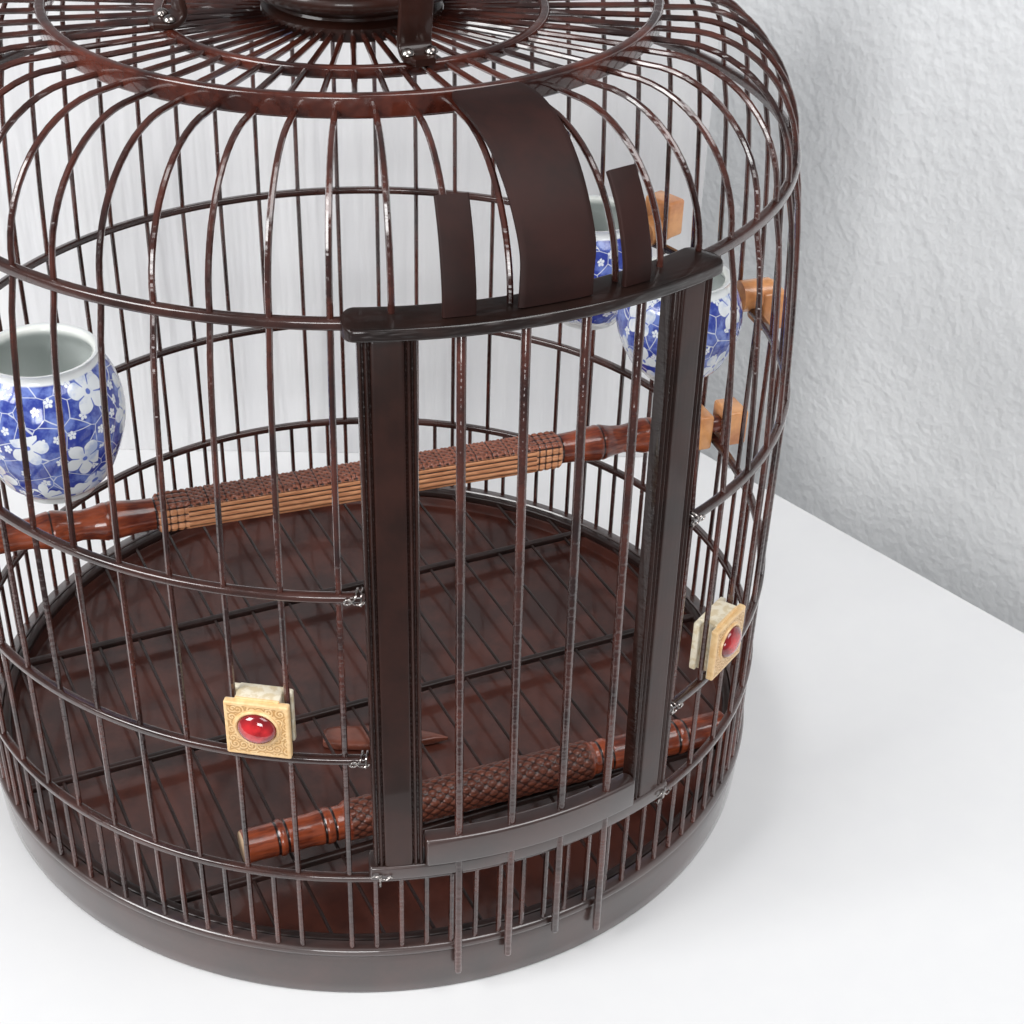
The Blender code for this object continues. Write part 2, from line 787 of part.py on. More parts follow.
# Fascia: a bent board from the header to the side of the plank ring
bar_clear = bar_side / math.sqrt(2.0) + gap
fascia_bend = dome_corner_radius + bar_clear + fascia_thickness
bend_z = shoulder_hoop_z + gap + dome_flat_drop
fascia_foot_z = header_top_z + gap + fascia_thickness * 0.22
fascia_rows = [(fascia_foot_radius, fascia_foot_z, -3.88, 4.59)]
fascia_turns = ((8, -3.7, 4.75), (20, -3.4, 5.35), (32, -3.54, 5.57), (44, -3.78, 5.94),
                (56, -4.18, 6.32), (68, -4.92, 6.55), (80, -5.5, 7.0), (90, -5.3, 7.4))
foot_extra = fascia_foot_radius - dome_centre_radius - fascia_bend
for lift_angle, left_angle, right_angle in fascia_turns:
    lift = math.radians(lift_angle)
    bend = fascia_bend + foot_extra * max(0, 1 - lift_angle / 30)
    fascia_rows.append((
        dome_centre_radius + bend * math.cos(lift), bend_z + bend * math.sin(lift),
        left_angle, right_angle))
fascia_top_z = fascia_rows[-1][1]
fascia_rows.append((plank_outer_radius + gap, fascia_top_z, -4.6, 7.6))
bm = bmesh.new()
bmesh.ops.create_grid(
    bm, x_segments=fascia_across - 1, y_segments=len(fascia_rows) - 1, size=1.0)
for vertex in bm.verts:
    across = (vertex.co.x + 1) / 2
    row = fascia_rows[round((vertex.co.y + 1) / 2 * (len(fascia_rows) - 1))]
    vertex.co = polar(row[0], row[2] + (row[3] - row[2]) * across, row[1])
fascia_mesh = bpy.data.meshes.new("fascia")
bm.to_mesh(fascia_mesh)
bm.free()
fascia = add("fascia", fascia_mesh, fascia_lacquer)
place(fascia, Matrix.Translation(axis_shift))
shell = fascia.modifiers.new("board", "SOLIDIFY")
shell.thickness = fascia_thickness
shell.offset = -1.0

# Plank ring, inner ring with the rays, and the hub
plank_profile = [
    (plank_outer_radius - 2 * plank_edge, plank_top_z),
    (plank_outer_radius - plank_edge / 2, plank_top_z - plank_edge / 2),
    (plank_outer_radius, plank_top_z - 1.5 * plank_edge),
    (plank_outer_radius, plank_bottom_z + plank_edge / 2),
    (plank_outer_radius - plank_edge / 2, plank_bottom_z),
    (plank_inner_radius, plank_bottom_z),
    (plank_inner_radius, plank_top_z),
]
plank_ring = turned("plank_ring", plank_profile, plank_lacquer, ring_steps, closed=True)
place(plank_ring, Matrix.Translation(axis_shift))

half_ring = inner_ring_side / 2
inner_profile = [
    (inner_ring_radius + half_ring, ray_z + half_ring - gap),
    (inner_ring_radius + half_ring, ray_z - half_ring - gap),
    (inner_ring_radius - half_ring, ray_z - half_ring - gap),
    (inner_ring_radius - half_ring, ray_z + half_ring - gap),
]
crown = turned("ray_crown", inner_profile, bar_lacquer, inner_ring_steps, closed=True)
place(crown, facing(bar_angle(0.5)))
ray = tube([(hub_base_radius + gap, 0, ray_z), (plank_inner_radius - gap, 0, ray_z)], bar_depth)
rays = []
for index in range(bar_count):
    turn = Matrix.Rotation(math.radians((index + 0.5) * bar_pitch), 4, "Z")
    rays.append((ray, turn))
combine(crown, joined(rays))

hub_shares = ((0.0, 0.68), (0.62, 0.74), (0.92, 1.0), (1.0, 0.93), (0.9, 0.7),
              (0.7, 0.5), (0.66, 0.4))
hub_profile = [(hub_rim_radius * r, hub_bottom_z + hub_height * z) for r, z in hub_shares]
hub_profile += [
    (hub_base_radius, hub_bottom_z + hub_height * 0.32),
    (hub_base_radius, hub_bottom_z),
    (0, hub_bottom_z),
]
hub = turned("crown_hub", hub_profile, frame_lacquer, hub_steps)
place(hub, Matrix.Translation(axis_shift))

# Wire ties where the hoops end beside the posts
tie_half = hoop_side / 2 + gap + tie_wire_radius
tie_angle = hoop_end_angle + hoop_end_at(wall_radius, gap / 2 + tie_wire_radius)
tie_loop = [(tie_half, 0, tie_half), (tie_half, 0, -tie_half),
            (-tie_half, 0, -tie_half), (-tie_half, 0, tie_half)]
for hoop_name, height in (("upper", lambda angle: upper_hoop_z), ("lower", hoop_side_z)):
    for side_name, angle in (("left", -tie_angle), ("right", tie_angle)):
        tie = add("tie_%s_%s" % (hoop_name, side_name),
                  tube(tie_loop, tie_wire_radius * math.sqrt(2.0) * 0.7, cyclic=True), silver)
        reach = run_radius(angle, bar_angle(first_wall_bar - 0.5), 2 * bar_pitch, wall_radius)
        middle = Matrix.Translation((reach, 0, 0))
        place(tie, facing(angle, height(angle)) @ middle)

# Staples that hold the sill to the low hoop
staple_reach = staple_wire_radius + gap
hoop_face = wall_radius + hoop_side / 2 + staple_reach
sill_face = sill_outer_radius + staple_reach
staple_points = [
    (sill_face, 0, sill_bottom_z + sill_thickness * 0.6),
    (sill_face, 0, sill_bottom_z - staple_reach),
    (hoop_face, 0, sill_hoop_z - hoop_side * 0.2),
    (hoop_face, 0, sill_hoop_z - hoop_side / 2 - staple_reach),
    (wall_radius - hoop_side * 0.2, 0, sill_hoop_z - hoop_side / 2 - staple_reach),
]
for side_name, angle in zip(("left", "right"), staple_angles):
    staple = add("staple_" + side_name, tube(staple_points, staple_wire_radius), silver)
    place(staple, facing(angle))

# Floor tray, its turning knob and the grid over it
tray_radius = base_inner_radius - gap
tray_bottom_z = ledge_top_z + gap
tray_top_z = tray_bottom_z + tray_thickness
grid_ring_bottom = grid_z - grid_ring_side / 2
tray_rim_z = grid_ring_bottom - gap
rim_inner = tray_radius - tray_rim_width
tray = turned("floor_tray", [
    (0, tray_top_z), (rim_inner - tray_thickness / 2, tray_top_z), (rim_inner, tray_rim_z),
    (tray_radius, tray_rim_z), (tray_radius, tray_bottom_z), (0, tray_bottom_z),
], tray_board, ring_steps)
place(tray, Matrix.Translation(axis_shift))
socket_depth = knob_pin_depth + gap
socket = rod_mesh(
    (knob_x, knob_y, tray_top_z - socket_depth), (knob_x, knob_y, tray_top_z + overrun),
    knob_pin_radius + gap, 8)
combine(tray, socket, "DIFFERENCE")

knob_shares = ((1.0, 0.0), (0.72, 0.55), (0.38, 0.9), (0.0, 1.0), (-0.38, 0.9), (-0.72, 0.55))
knob_points = [(knob_length / 2 * x, knob_width / 2 * y) for x, y in knob_shares]
knob_points += [(-x, -y) for x, y in knob_points]
knob = add("tray_knob", outline(knob_points, knob_height), tray_board)
knob_z = tray_top_z + gap + knob_height / 2
place(knob, Matrix.Translation(axis_shift + Vector((knob_x, knob_y, knob_z)))
      @ Matrix.Rotation(math.radians(knob_turn), 4, "Z"))
combine(knob, rod_mesh(
    (0, 0, -knob_height / 2 - gap - knob_pin_depth), (0, 0, 0), knob_pin_radius, 8))

grid_radius = base_inner_radius - gap - grid_ring_side / 2
grid_half = grid_ring_side / 2
grid = turned("floor_grid", [
    (grid_radius + grid_half, grid_z + grid_half),
    (grid_radius + grid_half, grid_z - grid_half),
    (grid_radius - grid_half, grid_z - grid_half),
    (grid_radius - grid_half, grid_z + grid_half),
], bar_lacquer, ring_steps, closed=True)
place(grid, Matrix.Translation(axis_shift))
cross_bars = []
for y in cross_bar_y:
    reach = math.sqrt(grid_radius ** 2 - y ** 2)
    cross_bars.append((box_mesh((2 * reach, cross_bar_side, cross_bar_side), (0, y, grid_z)),
                       identity))
combine(grid, joined(cross_bars))
rods = []
rod_limit = math.ceil(grid_radius / rod_pitch)
for number in range(-rod_limit, rod_limit + 1):
    x = rod_first_x + number * rod_pitch
    if abs(x) > grid_radius - grid_ring_side:
        continue
    reach = math.sqrt(grid_radius ** 2 - x ** 2)
    rods.append((tube([(x, -reach, grid_z), (x, reach, grid_z)], rod_side / math.sqrt(2.0)),
                 identity))
rod_guide = add("floor_grid_rods", joined(rods), None, guides)
place(rod_guide, grid.matrix_world.copy())
rod_union = grid.modifiers.new("rods", "BOOLEAN")
rod_union.operation = "UNION"
rod_union.solver = "EXACT"
rod_union.object = rod_guide

# Upper perch, resting on the perch hoop at both walls
perch_lift = hoop_side / 2 + gap + perch_neck_radius
left_seat = polar(wall_radius, perch_left_angle, hoop_side_z(perch_left_angle) + perch_lift)
right_seat = polar(wall_radius, perch_right_angle, hoop_side_z(perch_right_angle) + perch_lift)
perch_run = right_seat - left_seat
perch_mid = (left_seat + right_seat) / 2
perch_half = perch_run.length / 2
perch_turn = perch_run.to_track_quat("X", "Z").to_matrix().to_4x4()
perch_place = Matrix.Translation(axis_shift + perch_mid) @ perch_turn
perch_end = perch_half + (block_inner_radius - wall_radius) - gap
lay_along = Matrix.Rotation(math.radians(90), 4, "Y")
half_profile_shares = ((1.0, 0.85), (0.91, 0.77), (0.69, 1.0), (0.5, 0.78), (0.32, 1.0),
                       (0.14, 0.87), (0.04, 0.84))


def perch_section(start, end):
    """Turned end of the perch between two places along it."""
    run = end - start
    rows = []
    for along, swell in half_profile_shares:
        rows.append((perch_body_radius * swell, start + run * along))
    return rows


right_end = perch_half - perch_neck_length
left_end = -right_end
profile = [(0, perch_end), (perch_neck_radius, perch_end), (perch_neck_radius, right_end)]
profile += perch_section(perch_bar_end, right_end)
profile += [(perch_waist_radius, perch_bar_end), (perch_waist_radius, perch_bar_start)]
profile += [(r, z) for r, z in reversed(perch_section(perch_bar_start, left_end))]
profile += [(perch_neck_radius, left_end), (perch_neck_radius, -perch_end), (0, -perch_end)]
upper_perch = turned("upper_perch", profile, rosewood, perch_steps)
place(upper_perch, perch_place @ lay_along)
bar_centre = (perch_bar_start + perch_bar_end) / 2
bar_length = perch_bar_end - perch_bar_start
combine(upper_perch, box_mesh((perch_bar_height, perch_bar_side, bar_length),
                              (0, 0, bar_centre)))
inner_block_middle = perch_half - inner_block_inset - inner_block_length / 2
for side in (-1, 1):
    combine(upper_perch, box_mesh((block_height, block_width, inner_block_length),
                                  (0, 0, side * inner_block_middle)))

for side_name, side in (("left", -1), ("right", 1)):
    block = add("perch_block_" + side_name,
                box_mesh((block_depth, block_width, block_height), (0, 0, 0)), block_wood)
    offset = side * (perch_end + gap + block_depth / 2)
    place(block, perch_place @ Matrix.Translation((offset, 0, 0)))
    bevel(block, block_edge)

# Loose perch lying on the floor grid
knurl_from_share, knurl_to_share = 0.205, 0.7
rod_rest_z = grid_z + rod_side / math.sqrt(2.0) + gap + floor_perch_knurl_radius
bar_rest_z = grid_z + cross_bar_side / 2 + gap + floor_perch_knurl_radius
perch_climb = (bar_rest_z - rod_rest_z) / (knurl_to_share - knurl_from_share)
low_left = polar(wall_radius - floor_perch_left_inset, floor_perch_left_angle,
                 rod_rest_z - perch_climb * knurl_from_share)
low_right = polar(wall_radius - floor_perch_right_inset, floor_perch_right_angle,
                  bar_rest_z + perch_climb * (1 - knurl_to_share))
low_run = low_right - low_left
low_length = low_run.length
low_shares = (
    (1.0, "end"), (0.92, "end"), (0.9, "ring"), (0.87, "end"), (0.745, "end"),
    (0.735, "ring"), (0.71, "end"), (knurl_to_share, "knurl"), (knurl_from_share, "knurl"),
    (0.195, "end"),
    (0.165, "ring"), (0.14, "end"), (0.09, "end"), (0.075, "ring"), (0.055, "end"),
    (0.0, "end"))
low_radii = {"end": floor_perch_end_radius, "ring": floor_perch_ring_radius,
             "knurl": floor_perch_knurl_radius}
low_profile = [(0, low_length)]
low_profile += [(low_radii[kind], low_length * share) for share, kind in low_shares]
low_profile += [(0, 0)]
lower_perch = turned("lower_perch", low_profile, rosewood, perch_steps)
low_turn = low_run.to_track_quat("Z", "Y").to_matrix().to_4x4()
place(lower_perch, Matrix.Translation(axis_shift + low_left) @ low_turn)

# Cups with their blocks outside the bars
stem_z = upper_hoop_z + hoop_side / 2 + gap + stem_radius
cup_outer_shares = ((0.76, 1.0), (0.74, 0.95), (0.9, 0.83), (1.0, 0.64), (0.97, 0.43),
                    (0.76, 0.15), (0.55, 0.04), (0.52, 0.0))
cup_table = (
    ("left", -10.5, cup_left_inset, cup_left_radius, cup_left_height, cup_left_rise, -1),
    ("right", 16.5, cup_right_inset, cup_right_radius, cup_right_height, cup_right_rise, -1),
    ("far", 20.5, cup_far_inset, cup_far_radius, cup_far_height, cup_far_rise, 1),
)
for cup_name, index, inset, radius, height, rise, turned_up in cup_table:
    reach = wall_radius - inset
    outer = [(radius * r, height * z) for r, z in cup_outer_shares]
    inner = [(0, cup_wall * 1.6)]
    for r, z in reversed(cup_outer_shares[:-2]):
        inner.append((radius * r - cup_wall, height * z + (cup_wall if z < 0.3 else 0)))
    foot_inner = radius * cup_outer_shares[-1][0] - cup_wall
    foot_lift = cup_wall / 2
    under = [(foot_inner, 0), (foot_inner, foot_lift), (0, foot_lift)]
    cup = turned("cup_" + cup_name, inner + outer + under, porcelain, cup_steps)
    cup_bottom = upper_hoop_z + rise - height
    angle = bar_angle(index)
    place(cup, facing(angle, cup_bottom) @ Matrix.Translation((reach, 0, 0)))
    level = (stem_z - cup_bottom) / height
    low, high = cup_outer_shares[4], cup_outer_shares[3]
    for upper, lower in zip(cup_outer_shares, cup_outer_shares[1:]):
        if lower[1] <= level <= upper[1]:
            low, high = lower, upper
    blend = (level - low[1]) / (high[1] - low[1])
    belly = radius * max(low[0], high[0], low[0] + (high[0] - low[0]) * blend)
    stem_start = reach + belly + gap
    block = add("cup_block_" + cup_name, box_mesh(
        (block_depth, block_width, block_height),
        (block_inner_radius + block_depth / 2, 0, turned_up * cup_block_offset)), block_wood)
    place(block, facing(angle, stem_z))
    bevel(block, block_edge)
    combine(block, rod_mesh(
        (stem_start, 0, 0), (block_inner_radius + block_depth / 2, 0, 0), stem_radius, 8))

# Clips with a red stone, held between two bars
clip_inner = wall_radius - bar_side - gap * 2
clip_table = (("left", -1.5), ("right", 8.5))
for clip_name, index in clip_table:
    angle = bar_angle(index)
    seat_z = hoop_side_z(angle) + hoop_side / 2 + gap + hoop_side * 0.1
    plate_bottom = clip_foot_rise
    plate_mid = plate_bottom + clip_height / 2
    web_height = clip_foot_rise + clip_height * 0.9
    front_back = clip_front_radius
    clip = add("clip_" + clip_name, box_mesh(
        (clip_front_thickness, clip_width, clip_height),
        (front_back + clip_front_thickness / 2, 0, plate_mid)), clip_bone)
    place(clip, facing(angle, seat_z))
    web_length = front_back - clip_inner + clip_front_thickness / 2 + clip_rear_thickness / 2
    web_mid = clip_inner - clip_rear_thickness / 2 + web_length / 2
    web = box_mesh((web_length, clip_web_width, web_height), (web_mid, 0, web_height / 2))
    combine(clip, web)
    rear = box_mesh((clip_rear_thickness, clip_rear_width, clip_height),
                    (clip_inner - clip_rear_thickness / 2, 0, plate_mid))
    rear_guide = add("clip_%s_rear" % clip_name, rear, None, guides)
    place(rear_guide, clip.matrix_world.copy())
    rear_union = clip.modifiers.new("rear", "BOOLEAN")
    rear_union.operation = "UNION"
    rear_union.solver = "EXACT"
    rear_union.object = rear_guide
    gem_shares = ((0.0, 1.0), (0.45, 0.92), (0.8, 0.62), (1.0, 0.15), (1.0, 0.0), (0.0, 0.0))
    gem = turned("gem_" + clip_name,
                 [(gem_radius * r, gem_height * z) for r, z in gem_shares], ruby, gem_steps)
    gem_seat = front_back + clip_front_thickness + gap
    outward = Matrix.Rotation(math.radians(90), 4, "Y")
    place(gem, facing(angle, seat_z + plate_mid)
          @ Matrix.Translation((gem_seat, 0, 0)) @ outward)

# Claws, bolted to the inner ring and meeting at the collar
ring_top_z = ray_z + half_ring - gap
claw_bottom = ring_top_z + gap
collar_mid_z = claw_bottom + claw_rise
foot_outer = inner_ring_radius + claw_foot_reach
root = inner_ring_radius - claw_root_inset
half_claw = claw_thickness / 2
claw_line = [
    (foot_outer, claw_bottom + half_claw),
    (root + claw_thickness, claw_bottom + half_claw),
    (root, claw_bottom + claw_thickness * 1.8),
    (root + claw_bulge * 0.6, claw_bottom + claw_rise * 0.25),
    (root + claw_bulge, claw_bottom + claw_rise * 0.45),
    (root - claw_bulge * 0.6, claw_bottom + claw_rise * 0.68),
    (root * 0.78, claw_bottom + claw_rise * 0.87),
    (root * 0.5, claw_bottom + claw_rise * 0.97),
    (collar_radius + gap, collar_mid_z),
]
claw_upper = []
claw_lower = []
for point_index, point in enumerate(claw_line):
    before = Vector(claw_line[max(point_index - 1, 0)])
    after = Vector(claw_line[min(point_index + 1, len(claw_line) - 1)])
    run = (after - before).normalized()
    across = Vector((-run.y, run.x)) * half_claw
    if point_index == len(claw_line) - 1:
        across = Vector((0, half_claw)) * (1 if across.y > 0 else -1)
    claw_upper.append(tuple(Vector(point) + across))
    claw_lower.append(tuple(Vector(point) - across))
claw_loop = claw_upper + list(reversed(claw_lower))
shank_hole = screw_shank_radius + gap
for number, angle in enumerate(claw_angles):
    claw = add("claw_%d" % (number + 1), outline(claw_loop, claw_width), frame_lacquer)
    place(claw, facing(angle) @ stand)
    holes = []
    for side in (-1, 1):
        spot = (inner_ring_radius, claw_bottom, side * screw_spacing / 2)
        above = (spot[0], spot[1] + claw_thickness + overrun, spot[2])
        below = (spot[0], spot[1] - overrun, spot[2])
        holes.append((rod_mesh(below, above, shank_hole, 6), identity))
        screw = turned("claw_%d_screw_%s" % (number + 1, "a" if side < 0 else "b"), [
            (0, screw_head_height),
            (screw_head_radius * 0.6, screw_head_height * 0.8),
            (screw_head_radius, 0),
            (screw_shank_radius, 0),
            (screw_shank_radius, -claw_thickness - gap),
            (0, -claw_thickness - gap),
        ], silver, screw_steps)
        place(screw, facing(angle) @ Matrix.Translation(
            (inner_ring_radius, -side * screw_spacing / 2, claw_bottom + claw_thickness + gap)))
    combine(claw, joined(holes), "DIFFERENCE")

collar_half = collar_height / 2
bore = hook_wire_radius + gap
collar = turned("hook_collar", [
    (collar_radius * 0.7, collar_half), (collar_radius, collar_half * 0.6),
    (collar_radius, -collar_half), (bore, -collar_half), (bore, collar_half),
], frame_lacquer, 16, closed=True)
place(collar, Matrix.Translation(axis_shift + Vector((0, 0, collar_mid_z))))

hook_start = -collar_half - gap - hook_flange_height
neck_top = collar_half + hook_neck_length
loop_start = math.radians(-68)
loop_end = math.radians(196)
loop_steps = 12
loop_middle = neck_top - hook_loop_radius * math.sin(loop_start)
hook_points = [(0, 0, hook_start + hook_flange_height / 2), (0, 0, neck_top * 0.9)]
for step in range(loop_steps + 1):
    turn = loop_start + (loop_end - loop_start) * step / loop_steps
    hook_points.append((hook_loop_radius * math.cos(turn), 0,
                        loop_middle + hook_loop_radius * math.sin(turn)))
hook = add("hook", tube(hook_points, hook_wire_radius, 1), hook_steel)
place(hook, Matrix.Translation(axis_shift + Vector((0, 0, collar_mid_z))))
combine(hook, rod_mesh((0, 0, hook_start), (0, 0, hook_start + hook_flange_height),
                       hook_flange_radius, 10))

for item in list(parts.objects):
    if item.type == "MESH" and item.data.polygons:
        item.data.shade_smooth()
        item.data.set_sharp_from_angle(angle=math.radians(40))
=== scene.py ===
"""Looks of a round hanging bird cage: lacquered bars, lifting door, crown, cups, perches and floor.

Lengths are metres. Angles are degrees round the cage, from the middle of the door towards +X.
A local point is (out, side, height): out of the cage, level along its wall, and up.
"""

import bpy
import numpy as np
from mathutils import Matrix, Vector
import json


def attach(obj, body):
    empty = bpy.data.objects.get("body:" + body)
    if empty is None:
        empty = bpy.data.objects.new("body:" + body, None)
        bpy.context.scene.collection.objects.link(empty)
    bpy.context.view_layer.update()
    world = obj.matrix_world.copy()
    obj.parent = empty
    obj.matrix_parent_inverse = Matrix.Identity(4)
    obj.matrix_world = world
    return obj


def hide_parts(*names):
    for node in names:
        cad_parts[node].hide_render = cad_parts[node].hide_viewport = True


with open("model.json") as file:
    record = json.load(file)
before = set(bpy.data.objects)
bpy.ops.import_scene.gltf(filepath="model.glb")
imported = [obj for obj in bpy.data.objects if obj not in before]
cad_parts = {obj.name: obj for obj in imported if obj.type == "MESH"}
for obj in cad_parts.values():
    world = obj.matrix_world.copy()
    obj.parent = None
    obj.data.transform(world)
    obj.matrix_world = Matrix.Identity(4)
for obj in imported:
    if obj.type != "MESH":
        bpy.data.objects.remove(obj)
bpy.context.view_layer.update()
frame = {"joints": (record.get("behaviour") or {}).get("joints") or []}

mm = 0.001
full_turn = 360.0

# The hook turns about the cage's own axis
hook_joint = [joint for joint in frame["joints"] if joint["name"] == "hook_swivel"][0]
axis_x, axis_y = hook_joint["pos_m"][:2]

# Bars and hoops
bar_count = 56
bar_pitch = full_turn / bar_count
bar_radius = 1.2 * mm
wall_radius = 189.4 * mm
shoulder_radius = 180.0 * mm
low_hoop_z = 70.0 * mm
upper_hoop_z = 211.5 * mm
shoulder_z = 315.5 * mm
hoop_end_angle = 20.93
header_tip_angle = 22.3
hoop_size = (3.9 * mm, 3.5 * mm)
shoulder_hoop_size = (4.3 * mm, 3.9 * mm)
wall_panels = ((7, 16), (17, 26), (27, 36), (37, 46), (47, 56))
dome_panels = ((8, 17), (18, 27), (28, 37), (38, 47), (48, 56))

# Door
guide_y = axis_y - wall_radius
guide_z = 316.5 * mm
door_lean = 1.0
door_bar_angles = np.array([-10.2, -3.4, 3.4, 10.2])
door_pin_bottoms = (13.0 * mm, 17.0 * mm, 22.0 * mm, 12.0 * mm)
door_bar_top = 318.7 * mm
door_bar_radius = 1.75 * mm
post_angle = 17.68
post_low, post_high = 80.1 * mm, 313.65 * mm

# Small wires: radius of each, and angles of the ties and staples
tie_radius, staple_radius, twist_radius = 0.42 * mm, 0.5 * mm, 0.45 * mm
tie_angle = 21.4
staple_angles = (-19.6, 19.85)


def bar_angle(index):
    """Angle of a bar, or of a gap when the index ends in a half."""
    return (index - 3.64) * bar_pitch


def perch_hoop_z(angle):
    """Height of the perch hoop, which dips by a smooth step on the right of the door."""
    turn = (angle + 180) % full_turn - 180
    share = np.where(turn > 0, np.clip((125 - turn) / 95, 0, 1), 0)
    return (134.0 - 16.5 * share * share * (3 - 2 * share)) * mm


# Shapes

def in_mm(*rows):
    """Array of rows or numbers that are given in millimetres."""
    return np.array(rows) * mm


def joined(*parts):
    """Points from their coordinates, each an array or one number for all."""
    return np.stack(np.broadcast_arrays(*parts), -1)


def full_circle(steps):
    """Evenly spaced angles round a circle, in radians."""
    return np.linspace(0, 2 * np.pi, steps, endpoint=False)


def round_cage(radius, angle, z):
    """Points (r sin a, -r cos a, z) about the cage's axis."""
    turn = np.radians(angle)
    return joined(axis_x + radius * np.sin(turn), axis_y - radius * np.cos(turn), z)


def stand(local, angles):
    """Local points turned to each angle: x = out sin a + side cos a, y = side sin a - out cos a."""
    turn = np.radians(np.atleast_1d(angles)).reshape((-1,) + (1,) * (local.ndim - 1))
    out, side, z = np.moveaxis(local, -1, 0)
    return joined(axis_x + out * np.sin(turn) + side * np.cos(turn),
                  axis_y + side * np.sin(turn) - out * np.cos(turn), z)


def lean(points):
    """Points leaned by one degree about a level line through the door's guide."""
    turn = np.radians(-door_lean)
    x, y, z = np.moveaxis(points - [0, guide_y, guide_z], -1, 0)
    return joined(x, guide_y + y * np.cos(turn) - z * np.sin(turn),
                  guide_z + y * np.sin(turn) + z * np.cos(turn))


def in_plane(path):
    """Points (out, height) as local points in the upright plane through the cage's axis."""
    return joined(path[:, 0], 0, path[:, 1])


def circle(radius, steps):
    """Round section: radius times (cos t, sin t)."""
    turn = full_circle(steps)
    return radius * joined(np.cos(turn), np.sin(turn))


def soft_box(width, height, edge, steps=4):
    """Rectangle whose four corners are quarter circles of radius edge."""
    corner = np.linspace(0, np.pi / 2, steps + 1)
    turn = (np.arange(4)[:, None] * np.pi / 2 + corner[None]).ravel()
    middle = np.repeat([[1, 1], [-1, 1], [-1, -1], [1, -1]], steps + 1, 0)
    half = np.array([width / 2 - edge, height / 2 - edge])
    return middle * half + edge * joined(np.cos(turn), np.sin(turn))


def curve(points, count, loop=False):
    """Points evenly spaced along a Catmull-Rom curve through the given ones."""
    points = np.asarray(points, float)
    if loop:
        ring = np.concatenate([points[-1:], points, points[:2]])
    else:
        before, after = 2 * points[:1] - points[1:2], 2 * points[-1:] - points[-2:-1]
        ring = np.concatenate([before, points, after])
    p0, p1, p2, p3 = (ring[i:len(ring) - 3 + i, None] for i in range(4))
    t = np.linspace(0, 1, 24, endpoint=False)[None, :, None]
    run = 0.5 * (2 * p1 + (p2 - p0) * t + (2 * p0 - 5 * p1 + 4 * p2 - p3) * t ** 2
                 + (3 * p1 - p0 - 3 * p2 + p3) * t ** 3)
    run = run.reshape(-1, points.shape[1])
    run = np.concatenate([run, points[:1] if loop else points[-1:]])
    reach = np.concatenate([[0], np.cumsum(np.linalg.norm(np.diff(run, axis=0), axis=1))])
    wanted = np.linspace(0, reach[-1], count, endpoint=not loop)
    return np.stack([np.interp(wanted, reach, column) for column in run.T], -1)


def carried(path, section, side, loop=False, swell=1.0):
    """Section carried along a path: path + s * side + t * (tangent x side), times a swell."""
    if loop:
        tangent = np.roll(path, -1, 0) - np.roll(path, 1, 0)
    else:
        tangent = np.gradient(path, axis=0)
    tangent /= np.linalg.norm(tangent, axis=1, keepdims=True)
    normal = np.cross(tangent, side)
    normal /= np.linalg.norm(normal, axis=1, keepdims=True)
    side = np.cross(normal, tangent)
    section = section * np.reshape(swell, (-1, 1, 1))
    return path[:, None] + section[..., :1] * side[:, None] + section[..., 1:] * normal[:, None]


def bent_section(profile, angles):
    """Section (radius, height) carried round the cage: one row of points for each angle."""
    return round_cage(profile[:, 0], angles[:, None], profile[:, 1])


def turned(profile, steps=96, centre=(axis_x, axis_y)):
    """Profile (radius, height) from the axis back to the axis, turned about an upright line."""
    turn = full_circle(steps)
    radius, z = np.maximum(profile[:, :1], 0.00001), profile[:, 1:]
    return joined(centre[0] + radius * np.cos(turn), centre[1] + radius * np.sin(turn), z)


def soft_block(size, edge, steps=4):
    """Box with rounded edges, sizes in millimetres.

    It is a soft box section, pulled in along a quarter circle at both ends.
    """
    length, width, height, edge = in_mm(*size, edge)
    lift = np.linspace(0, np.pi / 2, steps + 1)
    inset, pull = edge * (1 - np.sin(lift)), edge * (1 - np.cos(lift))
    place = np.concatenate([inset[::-1] - length / 2, length / 2 - inset])[:, None]
    shrink = np.concatenate([pull[::-1], pull])[:, None, None]
    section = soft_box(width, height, edge, steps) * (1 - 2 * shrink / np.array([width, height]))
    return joined(place, section[..., 0], section[..., 1])


def smooth(value, low, high):
    """Smooth step from zero at low to one at high."""
    share = np.clip((value - low) / (high - low), 0, 1)
    return share * share * (3 - 2 * share)


